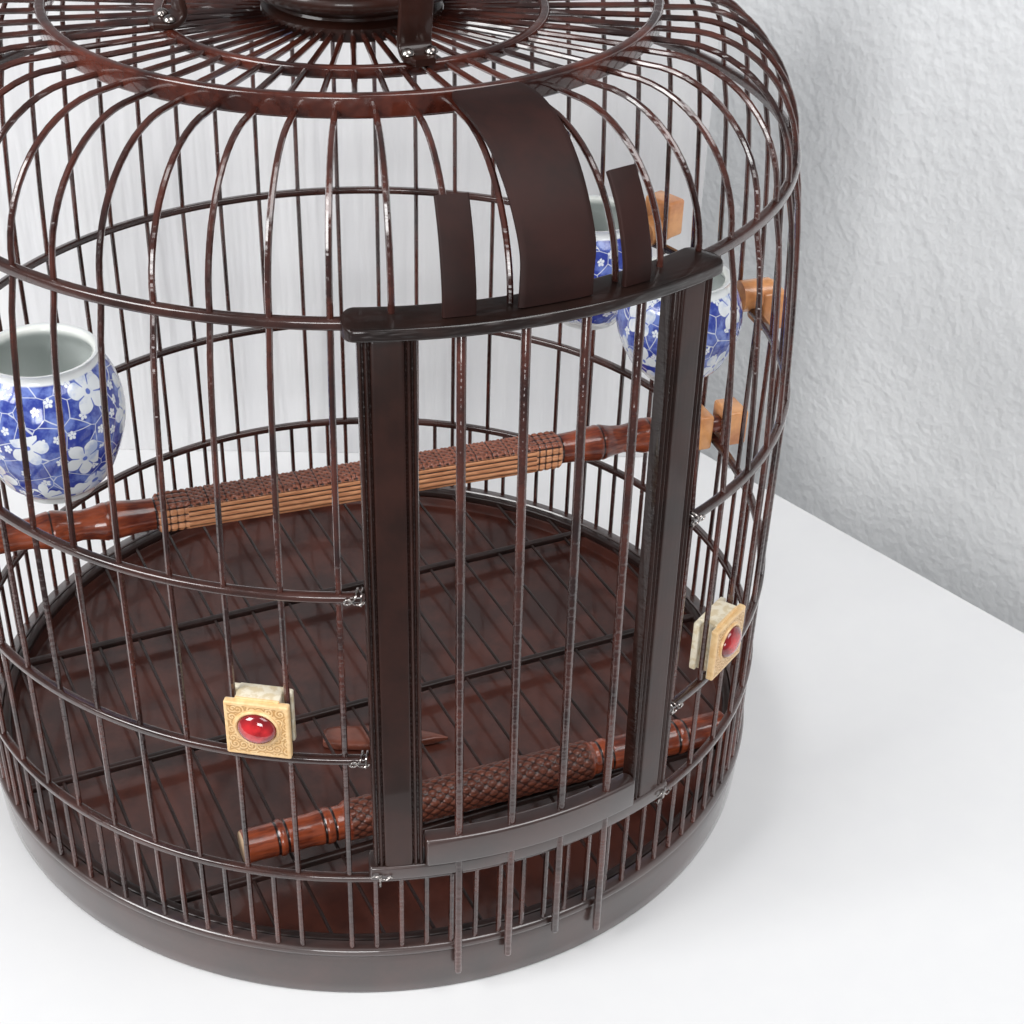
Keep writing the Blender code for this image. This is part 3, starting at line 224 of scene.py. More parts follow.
class Form:
    """Points and faces of one piece, gathered from grids of points."""

    def __init__(self, *grid, **settings):
        self.points, self.faces, self.kinds, self.own, self.relief = [], [], [], [], []
        self.total = 0
        if grid:
            self.add(*grid, **settings)

    def add(self, grid, loop=False, kind=0, own=None, relief=0.0):
        """Closed tubes from grids (count, rows, around): quads between rows, flat ends if no loop.

        Own gives each point's place in the piece's own frame, relief the height of its carving.
        """
        grid = grid[None] if grid.ndim == 3 else grid
        count, rows, around = grid.shape[:3]
        index = np.arange(count * rows * around).reshape(count, rows, around)
        beside = np.roll(index, -1, 2)
        if loop:
            quads = np.stack([index, beside, np.roll(beside, -1, 1), np.roll(index, -1, 1)], -1)
        else:
            quads = np.stack([index[:, :-1], beside[:, :-1], beside[:, 1:], index[:, 1:]], -1)
        faces = [quads.reshape(-1, 4)]
        if not loop:
            faces += [index[:, 0, ::-1], index[:, -1]]
        flat = grid.reshape(-1, 3)
        one = quads[0].reshape(-1, 4)
        a, b, c, d = (flat[one[:, i]] - flat[0] for i in range(4))
        volume = np.sum(np.cross(a, b) * c) + np.sum(np.cross(a, c) * d)
        if not loop:
            for end, sign in ((grid[0, 0], -1), (grid[0, -1], 1)):
                ring = end - flat[0]
                volume += sign * np.sum(np.cross(ring, np.roll(ring, -1, 0)) * ring.mean(0))
        for block in faces:
            self.faces.append((block if volume > 0 else block[:, ::-1]) + self.total)
            self.kinds.append(np.full(len(block), kind))
        self.own.append(np.broadcast_to(grid if own is None else own, grid.shape).reshape(-1, 3))
        self.relief.append(np.broadcast_to(relief, grid.shape[:3]).ravel())
        self.points.append(flat)
        self.total += len(flat)
        return self

    def mesh(self, name, sharp):
        """Mesh of the gathered grids, smooth but for edges sharper than an angle."""
        mesh = bpy.data.meshes.new(name)
        corners = np.concatenate([block.ravel() for block in self.faces])
        sizes = np.concatenate([np.full(len(block), block.shape[1]) for block in self.faces])
        mesh.vertices.add(self.total)
        mesh.loops.add(len(corners))
        mesh.polygons.add(len(sizes))
        for items, key, values in (
                (mesh.vertices, "co", self.points), (mesh.loops, "vertex_index", [corners]),
                (mesh.polygons, "loop_start", [np.cumsum(sizes) - sizes]),
                (mesh.polygons, "material_index", self.kinds)):
            kind = np.float32 if key == "co" else np.int32
            items.foreach_set(key, np.concatenate(values).astype(kind).ravel())
        mesh.update(calc_edges=True)
        mesh.validate()
        for name, kind, key, values in (("own", "FLOAT_VECTOR", "vector", self.own),
                                        ("relief", "FLOAT", "value", self.relief)):
            stored = mesh.attributes.new(name, kind, "POINT").data
            stored.foreach_set(key, np.concatenate(values).astype(np.float32).ravel())
        mesh.shade_smooth()
        mesh.set_sharp_from_angle(angle=np.radians(sharp))
        return mesh


def placed(name, data):
    """New object of the scene."""
    item = bpy.data.objects.new(name, data)
    bpy.context.scene.collection.objects.link(item)
    return item


def piece(name, form, skins, *nodes, body="cage", slot=None, sharp=35):
    """Finished piece that rides on a body and stands for its CAD nodes.

    The slot, its own or the name of its first skin, is worked out but not used.
    """
    item = placed(name, form.mesh(name, sharp))
    skins = skins if isinstance(skins, list) else [skins]
    for skin in skins:
        item.data.materials.append(skin)
    slot = slot or skins[0].name.split(".")[0]
    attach(item, body)
    if nodes:
        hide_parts(*nodes)


# Finishes

def operator(operation):
    """Method that adds a Math node of one operation."""
    return lambda self, *others: self.math(operation, *others)


class Value:
    """One socket of a finish; sums on it add Math nodes."""

    def __init__(self, node, socket):
        self.node, self.socket = node, socket

    def math(self, operation, *others):
        values = dict(enumerate((self,) + others))
        return self.node("ShaderNodeMath", {"operation": operation}, values)

    __add__ = __radd__ = operator("ADD")
    __mul__ = __rmul__ = operator("MULTIPLY")
    __sub__ = operator("SUBTRACT")
    __truediv__ = operator("DIVIDE")
    __pow__ = operator("POWER")
    __abs__ = operator("ABSOLUTE")

    def __rsub__(self, other):
        return (self * -1.0) + other

    def over(self, edge, soft):
        """Zero below an edge, one above it, with a smooth step of a given width."""
        return self.node("ShaderNodeMapRange", {"interpolation_type": "SMOOTHSTEP"}, {
            "Value": self, "From Min": edge - soft / 2, "From Max": edge + soft / 2})

    def mix(self, first, second):
        """A colour between two, by this share of the second."""
        return self.node("ShaderNodeMix", {"data_type": "RGBA"}, {0: self, 6: first, 7: second}, 2)

    def bump(self, strength, distance, below=None):
        """Normal of this height, over another normal if there is one."""
        values = {"Height": self, "Strength": strength, "Distance": distance}
        if below is not None:
            values["Normal"] = below
        return self.node("ShaderNodeBump", None, values)

    def parts(self):
        """The three parts of a vector."""
        split = self.node("ShaderNodeSeparateXYZ", None, {0: self}).socket.node
        return [Value(self.node, split.outputs[i]) for i in range(3)]

    def stretched(self, *scale):
        """A vector with each part times its own number."""
        return self.node("ShaderNodeVectorMath", {"operation": "MULTIPLY"}, {0: self, 1: scale})

    def noise(self, scale, detail=2.0, rough=0.5):
        return self.node("ShaderNodeTexNoise", None, {
            "Vector": self, "Scale": scale, "Detail": detail, "Roughness": rough})

    def cells(self, size, spread=1.0, flat=False):
        """Offset from the middle of the nearest cell (three parts) and a random number per cell."""
        settings = {"voronoi_dimensions": "2D" if flat else "3D"}
        cell = self.node("ShaderNodeTexVoronoi", settings, {
            "Vector": self, "Scale": 1.0 / size, "Randomness": spread}, "Position")
        gap = self.node("ShaderNodeVectorMath", {"operation": "SUBTRACT"}, {0: self, 1: cell})
        return gap.parts(), Value(self.node, cell.socket.node.outputs["Color"]).parts()[0]

    def cracks(self, size, width, soft):
        """One on the straight lines between cells, zero inside them."""
        gap = self.node("ShaderNodeTexVoronoi", {"feature": "DISTANCE_TO_EDGE"}, {
            "Vector": self, "Scale": 1.0 / size}, "Distance")
        return 1.0 - gap.over(width, soft)


class Finish:
    """A Principled material and the nodes that feed it."""

    def __init__(self, name, colour, roughness, **fixed):
        self.skin = bpy.data.materials.new(name)
        self.skin.use_nodes = True
        self.skin.diffuse_color = (*colour, 1.0)
        self.tree = self.skin.node_tree
        self.feed(Base_Color=colour, Roughness=roughness, **fixed)
        self.place = self.node("ShaderNodeTexCoord", None, {}, "Object")

    def node(self, kind, settings, values, output=0):
        """Node of a kind; its settings come first, then the values or links of its sockets."""
        made = self.tree.nodes.new(kind)
        for setting, value in (settings or {}).items():
            setattr(made, setting, value)
        for socket, value in values.items():
            self.join(made.inputs[socket], value)
        return Value(self.node, made.outputs[output])

    def join(self, socket, value):
        """Link a value to a socket, or write a plain number or colour on it."""
        if isinstance(value, Value):
            self.tree.links.new(value.socket, socket)
        elif socket.type == "RGBA" and len(value) == 3:
            socket.default_value = (*value, 1.0)
        else:
            socket.default_value = value

    def feed(self, **inputs):
        """The material, its sockets fed by name, where _ stands for a space."""
        for name, value in inputs.items():
            self.join(self.tree.nodes["Principled BSDF"].inputs[name.replace("_", " ")], value)
        return self.skin

    def own(self, name="own", output="Vector"):
        """A point's place in its piece's own frame, or another stored value."""
        return self.node("ShaderNodeAttribute", {"attribute_name": name}, {}, output)


def lacquer(name, deep, warm, roughness, coat, wave_length, wave_depth, shine=0.4, sideways=1.0):
    """Lacquer over wood: slow changes of colour, a fine bump and a wavy clear coat.

    Waves are in millimetres. A sideways value under one draws them out into level ripples.
    """
    finish = Finish(name, deep, roughness, Coat_Weight=coat, Coat_Roughness=0.06, Coat_IOR=1.5,
                    Specular_IOR_Level=shine)
    place, relief = finish.place, finish.own("relief", "Fac")
    slow, fine = place.noise(38.0, 3.0), place.noise(420.0)
    wave = place.stretched(sideways, sideways, 1.0).noise(1.0 / (wave_length * mm), 1.5)
    beads = place.stretched(0.25, 0.25, 1.0).noise(1.0 / (2.2 * mm), 1.0) * relief
    return finish.feed(Base_Color=(slow * 0.85 + fine * 0.15).over(0.5, 0.34).mix(deep, warm),
                       Roughness=slow * 0.12 + (roughness - 0.05),
                       Coat_Weight=relief * (1.0 - coat) + coat,
                       Normal=beads.bump(1.0, 1.2 * mm, wave.bump(1.0, wave_depth * mm)))


def metal(name, light, dark, roughness):
    """Drawn metal: darker blotches and a fine wavy bump."""
    finish = Finish(name, light, roughness, Metallic=1.0)
    blotch = finish.place.noise(260.0, 3.0)
    return finish.feed(Base_Color=blotch.over(0.5, 0.4).mix(dark, light),
                       Roughness=blotch * 0.2 + (roughness - 0.1),
                       Normal=finish.place.noise(700.0).bump(0.4, 0.2 * mm))


def perch_wood(name, carved_from, carved_to, box_middle, ridges):
    """Glossy red-brown wood; the carved middle is darker in its grooves and paler on its ridges."""
    finish = Finish(name, (0.16, 0.04, 0.02), 0.3, Coat_Weight=0.9, Coat_Roughness=0.1,
                    Specular_IOR_Level=0.3)
    own, relief = finish.own(), finish.own("relief", "Fac")
    along, side, up = own.parts()
    grain = own.stretched(120.0, 900.0, 900.0).noise(1.0, 3.0)
    streaks = grain.over(0.5, 0.4)
    varnish = (own.noise(75.0) * 0.6 + grain * 0.4).over(0.5, 0.3).mix(
        (0.085, 0.014, 0.007), (0.300, 0.060, 0.020))
    varnish = (1.0 - relief).over(0.5, 0.5).mix(varnish, (0.012, 0.004, 0.003))
    ridge = streaks.mix(*ridges)
    if box_middle:
        bare = streaks.mix((0.480, 0.190, 0.085), (0.720, 0.340, 0.170))
        ridge = (up - 5.3 * mm).over(0.0, 1.2 * mm).mix(bare, ridge)
    else:
        end = (0.4 * mm - along).over(0.0, 0.3 * mm)
        varnish = end.mix(varnish, (0.66, 0.47, 0.30))
    carved = relief.over(0.42, 0.5).mix((0.022, 0.007, 0.005), ridge)
    middle = (along - carved_from).over(0.0, 0.8 * mm) * (carved_to - along).over(0.0, 0.8 * mm)
    return finish.feed(Base_Color=middle.mix(varnish, carved), Roughness=middle * 0.12 + 0.28,
                       Coat_Weight=0.9 - middle * 0.45, Normal=grain.bump(0.35, 0.15 * mm))


def blossom_glaze(name, height):
    """White glaze; outside, a blue ground with cracked-ice lines and five-petalled blossoms."""
    finish = Finish(name, (0.80, 0.82, 0.80), 0.1, Coat_Weight=0.4, Coat_Roughness=0.03)
    own = finish.own()
    x, y, z = own.parts()
    reach = (x * x + y * y) ** 0.5

    def blossoms(size, petal, chance_edge):
        gap, chance = own.cells(size, 0.75)
        east = (x * gap[1] - y * gap[0]) / reach
        far = (east * east + gap[2] * gap[2]) ** 0.5
        lobe = abs((gap[2].math("ARCTAN2", east) * 2.5 + chance * 20.0).math("COSINE"))
        edge = (lobe * 0.42 + 0.62) * petal
        shape = (edge - far).over(0.0, 0.5 * mm) * chance.over(chance_edge, 0.02)
        vein = lobe.over(0.16, 0.2) + (0.30 * petal - far).over(0.0, 0.2 * mm)
        heart = (far - 0.14 * petal).over(0.0, 0.08 * petal)
        return shape, shape * vein * heart

    wash = own.noise(110.0, 4.0, 0.6)
    ground = wash.over(0.53, 0.2).mix((0.036, 0.058, 0.330), (0.170, 0.240, 0.600))
    ice = own.cracks(11.0 * mm, 0.014, 0.012)
    large, large_white = blossoms(20.0 * mm, 8.6 * mm, 0.25)
    small, small_white = blossoms(6.5 * mm, 2.0 * mm, 0.55)
    white = (0.80, 0.83, 0.86)
    colour = (ice * 0.75).mix(ground, white)
    colour = small.mix(colour, small_white.mix((0.10, 0.14, 0.50), white))
    tint = wash.over(0.56, 0.2).mix(white, (0.50, 0.58, 0.78))
    colour = large.mix(colour, large_white.mix((0.13, 0.19, 0.56), tint))
    wavy = z + (wash - 0.5) * 9.0 * mm
    band = (-4.2 * mm - z).over(0.0, 0.8 * mm) * (wavy + (height - 6.0) * mm).over(0.0, 0.8 * mm)
    outside = finish.own("relief", "Fac").over(0.5, 0.2)
    bare = (z + 3.0 * mm).over(0.0, 3.0 * mm).mix((0.70, 0.74, 0.72), (0.82, 0.84, 0.80))
    bare = outside.mix(bare, (0.78, 0.80, 0.80))
    return finish.feed(Base_Color=(outside * band).mix(bare, colour),
                       Normal=own.noise(60.0).bump(0.3, 0.3 * mm))


def clip_horn():
    """Cream horn; the front plate has a golden engraved field of curls round an oval."""
    finish = Finish("clip_bone", (0.70, 0.58, 0.38), 0.4, Coat_Weight=0.3, Coat_Roughness=0.2)
    own = finish.own()
    out, side, up = own.parts()
    plane = finish.node("ShaderNodeCombineXYZ", None, {0: side, 1: up})
    gap, chance = plane.cells(3.6 * mm, 0.6, True)
    far = (gap[0] * gap[0] + gap[1] * gap[1]) ** 0.5
    curl = (far * (2 * np.pi / (1.25 * mm)) + gap[1].math("ARCTAN2", gap[0])
            + chance * 6.0).math("SINE")
    oval = ((side / 8.8) ** 2.0 + (up / 8.1) ** 2.0) ** 0.5 / mm
    field = (oval.over(1.08, 0.08) * (11.3 * mm - abs(side)).over(0.0, 0.5 * mm)
             * (11.2 * mm - abs(up + 1.25 * mm)).over(0.0, 0.5 * mm) * out.over(1.2 * mm, 0.4 * mm))
    groove = field * curl.over(0.2, 0.7)
    worn = own.noise(320.0, 3.0)
    cream = worn.over(0.52, 0.2).mix((0.84, 0.76, 0.60), (0.70, 0.58, 0.38))
    gold = worn.over(0.5, 0.4).mix((0.90, 0.63, 0.33), (0.78, 0.49, 0.22))
    colour = out.over(0.6 * mm, 0.6 * mm).mix(cream, gold)
    return finish.feed(Base_Color=(groove * 0.75).mix(colour, (0.50, 0.24, 0.06)),
                       Normal=(1.0 - groove).bump(0.8, 0.3 * mm))


def ruby_stone():
    """Clear dark red with paler cloudy patches deep inside."""
    finish = Finish("ruby", (0.42, 0.006, 0.010), 0.06, Coat_Weight=1.0, Coat_Roughness=0.02)
    own = finish.own()
    out, side, up = own.parts()
    cloud = own.noise(150.0, 3.0)
    rim = (((side / 8.2) ** 2.0 + (up / 6.7) ** 2.0) ** 0.5 / mm).over(0.72, 0.5)
    red = cloud.over(0.5, 0.25).mix((0.300, 0.004, 0.008), (0.640, 0.020, 0.026))
    return finish.feed(Base_Color=(rim * 0.75).mix(red, (0.120, 0.006, 0.010)),
                       Roughness=cloud * 0.05 + 0.04)


bar_lacquer = lacquer("bar_lacquer", (0.018, 0.005, 0.004), (0.085, 0.022, 0.014),
                      0.20, 1.0, 3.0, 0.85, 0.5, 0.22)
hoop_lacquer = lacquer("hoop_lacquer", (0.020, 0.007, 0.005), (0.056, 0.018, 0.013),
                       0.26, 1.0, 7.0, 0.50)
frame_lacquer = lacquer("frame_lacquer", (0.016, 0.005, 0.003), (0.036, 0.010, 0.006),
                        0.38, 0.35, 20.0, 0.20, 0.3)
# The header's lacquer is the frame's lacquer made darker: painted shade that stands for the dark
# reflections on its top.
header_lacquer = lacquer("header_lacquer", (0.008, 0.004, 0.003), (0.020, 0.008, 0.006),
                         0.36, 0.35, 20.0, 0.20, 0.25)
base_lacquer = lacquer("base_lacquer", (0.024, 0.010, 0.008), (0.046, 0.018, 0.014),
                       0.36, 1.0, 24.0, 0.15, 0.8)
plank_lacquer = lacquer("plank_lacquer", (0.026, 0.006, 0.004), (0.120, 0.026, 0.014),
                        0.20, 0.9, 6.0, 0.45, 0.3)
fascia_lacquer = lacquer("fascia_lacquer", (0.014, 0.004, 0.003), (0.028, 0.007, 0.005),
                         0.60, 0.0, 18.0, 0.12, 0.3)
tray_board = lacquer("tray_board", (0.034, 0.009, 0.006), (0.082, 0.023, 0.015),
                     0.34, 0.3, 40.0, 0.10, 0.35)
grid_lacquer = lacquer("grid_lacquer", (0.010, 0.005, 0.004), (0.028, 0.012, 0.010),
                       0.42, 0.2, 10.0, 0.20, 0.3)
silver = metal("silver", (0.62, 0.58, 0.55), (0.20, 0.17, 0.16), 0.25)
hook_steel = metal("hook_steel", (0.66, 0.64, 0.60), (0.48, 0.46, 0.43), 0.3)
knob_wood = lacquer("knob_wood", (0.090, 0.026, 0.016), (0.200, 0.060, 0.036),
                    0.36, 0.5, 12.0, 0.15)
block_wood = lacquer("block_wood", (0.480, 0.170, 0.060), (0.820, 0.390, 0.150),
                     0.35, 0.6, 5.0, 0.12)
clip_bone = clip_horn()
ruby = ruby_stone()


# Wall and dome of bars

def upright(path, radius=bar_radius, steps=8, swell=1.0):
    """Round bar along a path of (out, height) in a plane through the cage's axis."""
    return carried(in_plane(path), circle(radius, steps), (0, 1, 0), swell=swell)


bar_foot = 27.6 * mm
long_bar = upright(np.concatenate([
    joined(wall_radius, [bar_foot, 90 * mm, 150 * mm]),
    curve([*in_mm((189.4, 211.5), (187.5, 252), (184.3, 294)),
           (180.6 * mm, shoulder_z - 2.0 * mm)], 9)]))
short_bar = upright(joined(wall_radius, [bar_foot, low_hoop_z]))


def dome_bar_path(start_z):
    """Upright line, then a quarter circle of 49.4 mm, then a run to the plank ring's side."""
    lift = np.radians(np.linspace(0, 90, 15))
    bend = joined(130.6 + 49.4 * np.cos(lift), 317.4 + 49.4 * np.sin(lift)) * mm
    bend[:, 1] -= 1.6 * mm * np.linspace(0, 1, 15) ** 3
    return np.concatenate([[[shoulder_radius, start_z]], bend, [[121.8 * mm, 365.2 * mm]]])


for number, (first, last) in enumerate(wall_panels, 1):
    bars = np.arange(first, last + 1)
    halves = bars[bars < 55] + 0.5
    form = Form(stand(long_bar, bar_angle(bars))).add(stand(short_bar, bar_angle(halves)))
    node = "wall_panel_%d" % number
    piece(node + "_bars", form, bar_lacquer, node)

dome_bar = upright(dome_bar_path(shoulder_z))
for number, (first, last) in enumerate(dome_panels, 1):
    node = "dome_panel_%d" % number
    piece(node + "_bars", Form(stand(dome_bar, bar_angle(np.arange(first, last + 1)))),
          bar_lacquer, node)

piece("sill_short_bars", Form(stand(short_bar, bar_angle(np.arange(0.5, 7, 0.5)))),
      bar_lacquer, "sill_bars")


def hoop(name, radius, height, size=hoop_size, start=None):
    """Hoop of one height, or one that changes with the angle; open at the door from a start."""
    if start is None:
        angles = np.linspace(0, full_turn, 360, endpoint=False)
    else:
        angles = np.linspace(start, full_turn - start, 330)
    grid = bent_section(soft_box(*size, 1.1 * mm, 3) + [radius, 0], angles)
    grid[..., 2] += (height(angles) if callable(height) else height + 0 * angles)[:, None]
    piece(name, Form(grid, loop=start is None), hoop_lacquer, slot="bar_lacquer")


hoop("low_hoop", wall_radius, low_hoop_z)
hoop("perch_hoop", wall_radius, perch_hoop_z, start=hoop_end_angle)
hoop("upper_hoop", wall_radius, upper_hoop_z, start=hoop_end_angle)
hoop("shoulder_hoop", shoulder_radius, shoulder_z, shoulder_hoop_size, header_tip_angle)

# Base ring
base_profile = in_mm(
    (190.2, 28.4), (191.0, 28.1), (191.6, 27.4), (191.9, 26.2), (191.9, 25.4), (191.5, 24.6),
    (190.9, 24.1), (190.6, 23.4), (190.9, 22.6), (191.1, 20.0), (191.0, 14.0), (190.7, 7.0),
    (190.4, 1.2), (190.0, 0.3), (189.2, 0.0), (186.2, 0.0), (185.5, 0.7), (185.5, 9.7),
    (178.5, 9.7), (178.5, 13.7), (185.5, 13.7), (185.5, 27.8), (186.0, 28.4))
ring_angles = np.linspace(0, full_turn, 288, endpoint=False)
piece("base_ring_turned", Form(bent_section(base_profile, ring_angles), loop=True),
      base_lacquer, "base_ring", slot="frame_lacquer")

# Crown
plank_section = soft_box(*in_mm(4.0, 8.5, 1.3)) + in_mm(120.6, 366.95)
piece("plank_ring_turned", Form(bent_section(plank_section, ring_angles), loop=True),
      plank_lacquer, "plank_ring")

inner_section = soft_box(*in_mm(4.0, 4.6, 1.2), 3) + in_mm(76.3, 363.6)
ray = upright(in_mm((36.2, 364.0), (60, 364.0), (90, 364.0), (119.0, 364.0)))
form = Form(bent_section(inner_section, ring_angles[::2]), loop=True, kind=1)
piece("rays_and_inner_ring", form.add(stand(ray, bar_angle(np.arange(bar_count) + 0.5))),
      [bar_lacquer, plank_lacquer], "ray_crown")

hub_shape = np.concatenate([
    curve(in_mm((0.2, 373.9), (15, 374.0), (28, 375.0), (36, 377.2), (42.5, 379.8), (45.6, 379.9),
                (46.9, 378.4), (46.3, 375.8), (43.0, 373.6), (37.5, 371.8), (33.5, 369.9),
                (32.6, 368.4), (34.4, 367.4), (36.0, 366.0)), 60),
    in_mm((36.0, 361.6), (35.4, 361.0), (0.2, 361.0))])
piece("crown_hub_turned", Form(turned(hub_shape)), frame_lacquer, "crown_hub")

# Door frame

def nosed_strip(inner, outer, low, high, edge, tip, nose):
    """Flat strip round the cage whose width falls to zero at both tips like a half circle."""
    middle, half = (inner + outer) / 2, (outer - inner) / 2
    nose_angle = np.degrees(half * nose / middle)
    turn = np.linspace(-np.pi / 2, np.pi / 2, 25)
    angles = np.concatenate([-tip + nose_angle * (1 + np.sin(turn[:13])),
                             np.linspace(-tip + nose_angle, tip - nose_angle, 90)[1:-1],
                             tip - nose_angle * (1 - np.sin(turn[12:]))])
    reach = np.clip((np.abs(angles) - tip + nose_angle) / nose_angle, 0, 1)
    share = np.sqrt(np.maximum(1 - reach ** 2, 0.0004))
    section = soft_box(2 * half, high - low, edge)
    radius = middle + section[:, 0] * share[:, None]
    return round_cage(radius, angles[:, None], (low + high) / 2 + section[:, 1])


header_grid = nosed_strip(*in_mm(174.2, 192.2, 314.2, 319.0, 1.2), header_tip_angle, 0.5)
header_reach = np.hypot(header_grid[..., 0] - axis_x, header_grid[..., 1] - axis_y)
form = Form(header_grid, relief=smooth(header_reach, 191.3 * mm, 191.9 * mm))
form.add(stand(upright(dome_bar_path(316.5 * mm)), bar_angle(np.arange(1, 8))), kind=1)
piece("door_header_plate", form, [header_lacquer, bar_lacquer], "door_header",
      slot="frame_lacquer")
piece("door_sill_plate", Form(nosed_strip(*in_mm(183.0, 194.5, 72.5, 79.75, 1.3), 21.0, 0.25)),
      base_lacquer, "door_sill", slot="frame_lacquer")

# Across a post, from its middle to its edge: two beads with grooves beside them
post_across = np.array([(0.0, 0.0), (3.2, 0.02), (5.3, 0.08), (5.6, 0.5), (6.0, 0.85), (6.4, 0.5),
                        (6.6, 0.3), (7.2, 0.06), (7.6, 0.3), (7.8, 0.6), (8.2, 0.9), (8.5, 0.6),
                        (8.7, 0.3), (9.1, 0.12), (9.6, 0.25), (10.0, 0.8)])
right_half = curve(post_across, 46)
front = np.concatenate([right_half[::-1] * [-1, 1], right_half[1:]])
post_outline = np.concatenate([
    joined(190.0 - 2.2 * front[:, 1] * 0.9, front[:, 0]),
    [[183.4, 10.0], [183.0, 9.6], [183.0, -9.6], [183.4, -10.0]]]) * mm
post_relief = np.concatenate([smooth(front[:, 1], 0.2, 0.6), [0, 0, 0, 0]])
post_heights = np.array([post_low, post_low + 0.4 * mm, *in_mm(120, 200, 280),
                         post_high - 0.4 * mm, post_high])[:, None]
post_pull = np.array([0.97, 1, 1, 1, 1, 1, 0.97])[:, None, None]
post_middle = in_mm(186.5, 0)
post_rows = post_middle + (post_outline - post_middle) * post_pull
post_rows = joined(post_rows[..., 0], post_rows[..., 1], post_heights)
sides = (("left", -1), ("right", 1))
for side_name, sign in sides:
    node = "door_post_" + side_name
    piece(node + "_moulded", Form(lean(stand(post_rows, sign * post_angle)), relief=post_relief),
          frame_lacquer, node)

rail = nosed_strip(*in_mm(184.5, 192.6, 80.3, 94.28, 1.4), 14.45, 0.3)
form = Form(lean(rail))
swell = np.array([0.5, 0.85, 1, 1, 1, 1, 1, 1, 0.8])
for angle, bottom in zip(door_bar_angles, door_pin_bottoms):
    line = joined(wall_radius, [bottom, bottom + 0.5 * mm, bottom + 1.4 * mm,
                                *in_mm(60, 90, 170, 250), door_bar_top - 0.6 * mm, door_bar_top])
    form.add(lean(stand(upright(line, door_bar_radius, 12, swell), angle)), kind=1)
piece("door_rail_and_bars", form, [base_lacquer, bar_lacquer], "door", body="door",
      slot="frame_lacquer")

# Ears and fascia over the door

def strap(path, width, thickness, angle, ends=1.0):
    """Flat strip along a path of (out, height), its width level, standing at an angle."""
    grid = carried(in_plane(path), soft_box(width, thickness, thickness * 0.3, 3), (0, 1, 0))
    grid[..., 1] *= ends
    return stand(grid, angle)


ear_line = curve(in_mm((185.6, 319.3), (185.4, 326.5), (183.3, 335.0), (180.0, 344.0),
                       (175.8, 351.4), (173.0, 355.4)), 30)
for side_name, sign in sides:
    node = "ear_" + side_name
    piece(node + "_curved", Form(strap(ear_line, 11.5 * mm, 2.4 * mm, 10.2 * sign)),
          fascia_lacquer, node)

# Out, height, left angle and right angle up the fascia
fascia_lines = curve(np.array([
    (185.5, 319.4, -3.88, 4.59), (184.8, 326.5, -3.7, 4.75), (181.9, 336.0, -3.4, 5.35),
    (176.2, 346.6, -3.54, 5.57), (168.0, 355.9, -3.78, 5.94), (157.9, 363.5, -4.18, 6.32),
    (147.4, 368.4, -4.92, 6.55), (136.8, 370.4, -5.5, 7.0), (128.0, 370.4, -5.3, 7.4),
    (122.9, 369.7, -4.6, 7.6)]), 90) * [mm, mm, 1, 1]
run = np.gradient(fascia_lines[:, :2], axis=0)
run /= np.linalg.norm(run, axis=1, keepdims=True)
out, height, left, right = fascia_lines.T[..., None]
across = np.concatenate([np.linspace(0, 1, 25), np.linspace(1, 0, 25)])
rise = np.repeat([0.5, -0.5], 25) * 2.2 * mm
rise[[0, 24, 25, 49]] *= 0.55
fascia_grid = round_cage(out + run[:, 1:] * rise, left + (right - left) * across,
                         height - run[:, :1] * rise)
piece("fascia_board", Form(fascia_grid), fascia_lacquer, "fascia", sharp=50)

# Floor
tray_shape = in_mm((0.2, 17.6), (90, 17.6), (178.5, 17.6), (180.0, 18.2), (180.9, 20.0),
                   (181.2, 22.6), (181.6, 23.3), (182.2, 23.5), (184.6, 23.5), (185.1, 23.2),
                   (185.2, 22.6), (185.2, 14.4), (184.8, 14.0), (0.2, 14.0))
piece("floor_tray_board", Form(turned(tray_shape, 192)), tray_board, "floor_tray")

grid_z = 26.0 * mm
grid_radius = 183.0 * mm
form = Form(bent_section(soft_box(*in_mm(4.4, 4.4, 1.2), 3) + [grid_radius, grid_z], ring_angles),
            loop=True)
for x in 4.0 * mm + 21.0 * mm * np.arange(-8, 9):
    reach = np.sqrt(grid_radius ** 2 - x ** 2)
    line = joined(axis_x + x, axis_y + np.linspace(-reach, reach, 6), grid_z)
    form.add(carried(line, circle(0.85 * mm, 8), (1, 0, 0)))
for y in in_mm(-116.0, -18.0, 80.0):
    reach = np.sqrt(grid_radius ** 2 - y ** 2)
    line = joined(axis_x + np.linspace(-reach, reach, 8), axis_y + y, grid_z)
    form.add(carried(line, soft_box(*in_mm(3.8, 3.8, 1.1), 3), (0, 1, 0)))
piece("floor_grid_rods", form, grid_lacquer, "floor_grid", slot="bar_lacquer")

# Boat-shaped knob on the tray
knob_line = np.linspace(-31, 31, 61)
knob_width = np.interp(knob_line, [-31, -30, -24, -6, 10, 24, 31],
                       [9.0, 11.0, 14.5, 16.0, 13.0, 5.0, 0.6])
knob_thick = np.interp(knob_line, [-31, -29.5, 24, 31], [3.8, 5.0, 4.4, 1.6])
knob_section = soft_box(1.0, 1.0, 0.22)
knob_grid = joined(knob_line[:, None], knob_section[:, 0] * knob_width[:, None],
                   knob_section[:, 1] * knob_thick[:, None]) * mm
turn = np.radians(-23.0)
knob_points = joined(
    axis_x - 8 * mm + knob_grid[..., 0] * np.cos(turn) - knob_grid[..., 1] * np.sin(turn),
    axis_y - 42 * mm + knob_grid[..., 0] * np.sin(turn) + knob_grid[..., 1] * np.cos(turn),
    20.4 * mm + knob_grid[..., 2])
piece("tray_knob_boat", Form(knob_points), knob_wood, "tray_knob", body="tray_knob",
      slot="tray_board")

# Cups
cup_shares = np.array([(0.76, 1.0), (0.74, 0.95), (0.9, 0.83), (1.0, 0.64), (0.97, 0.43),
                       (0.76, 0.15), (0.55, 0.04), (0.52, 0.0)])
outer_block = soft_block((12.0, 17.0, 19.0), 1.4)
stem_z = 216.98 * mm
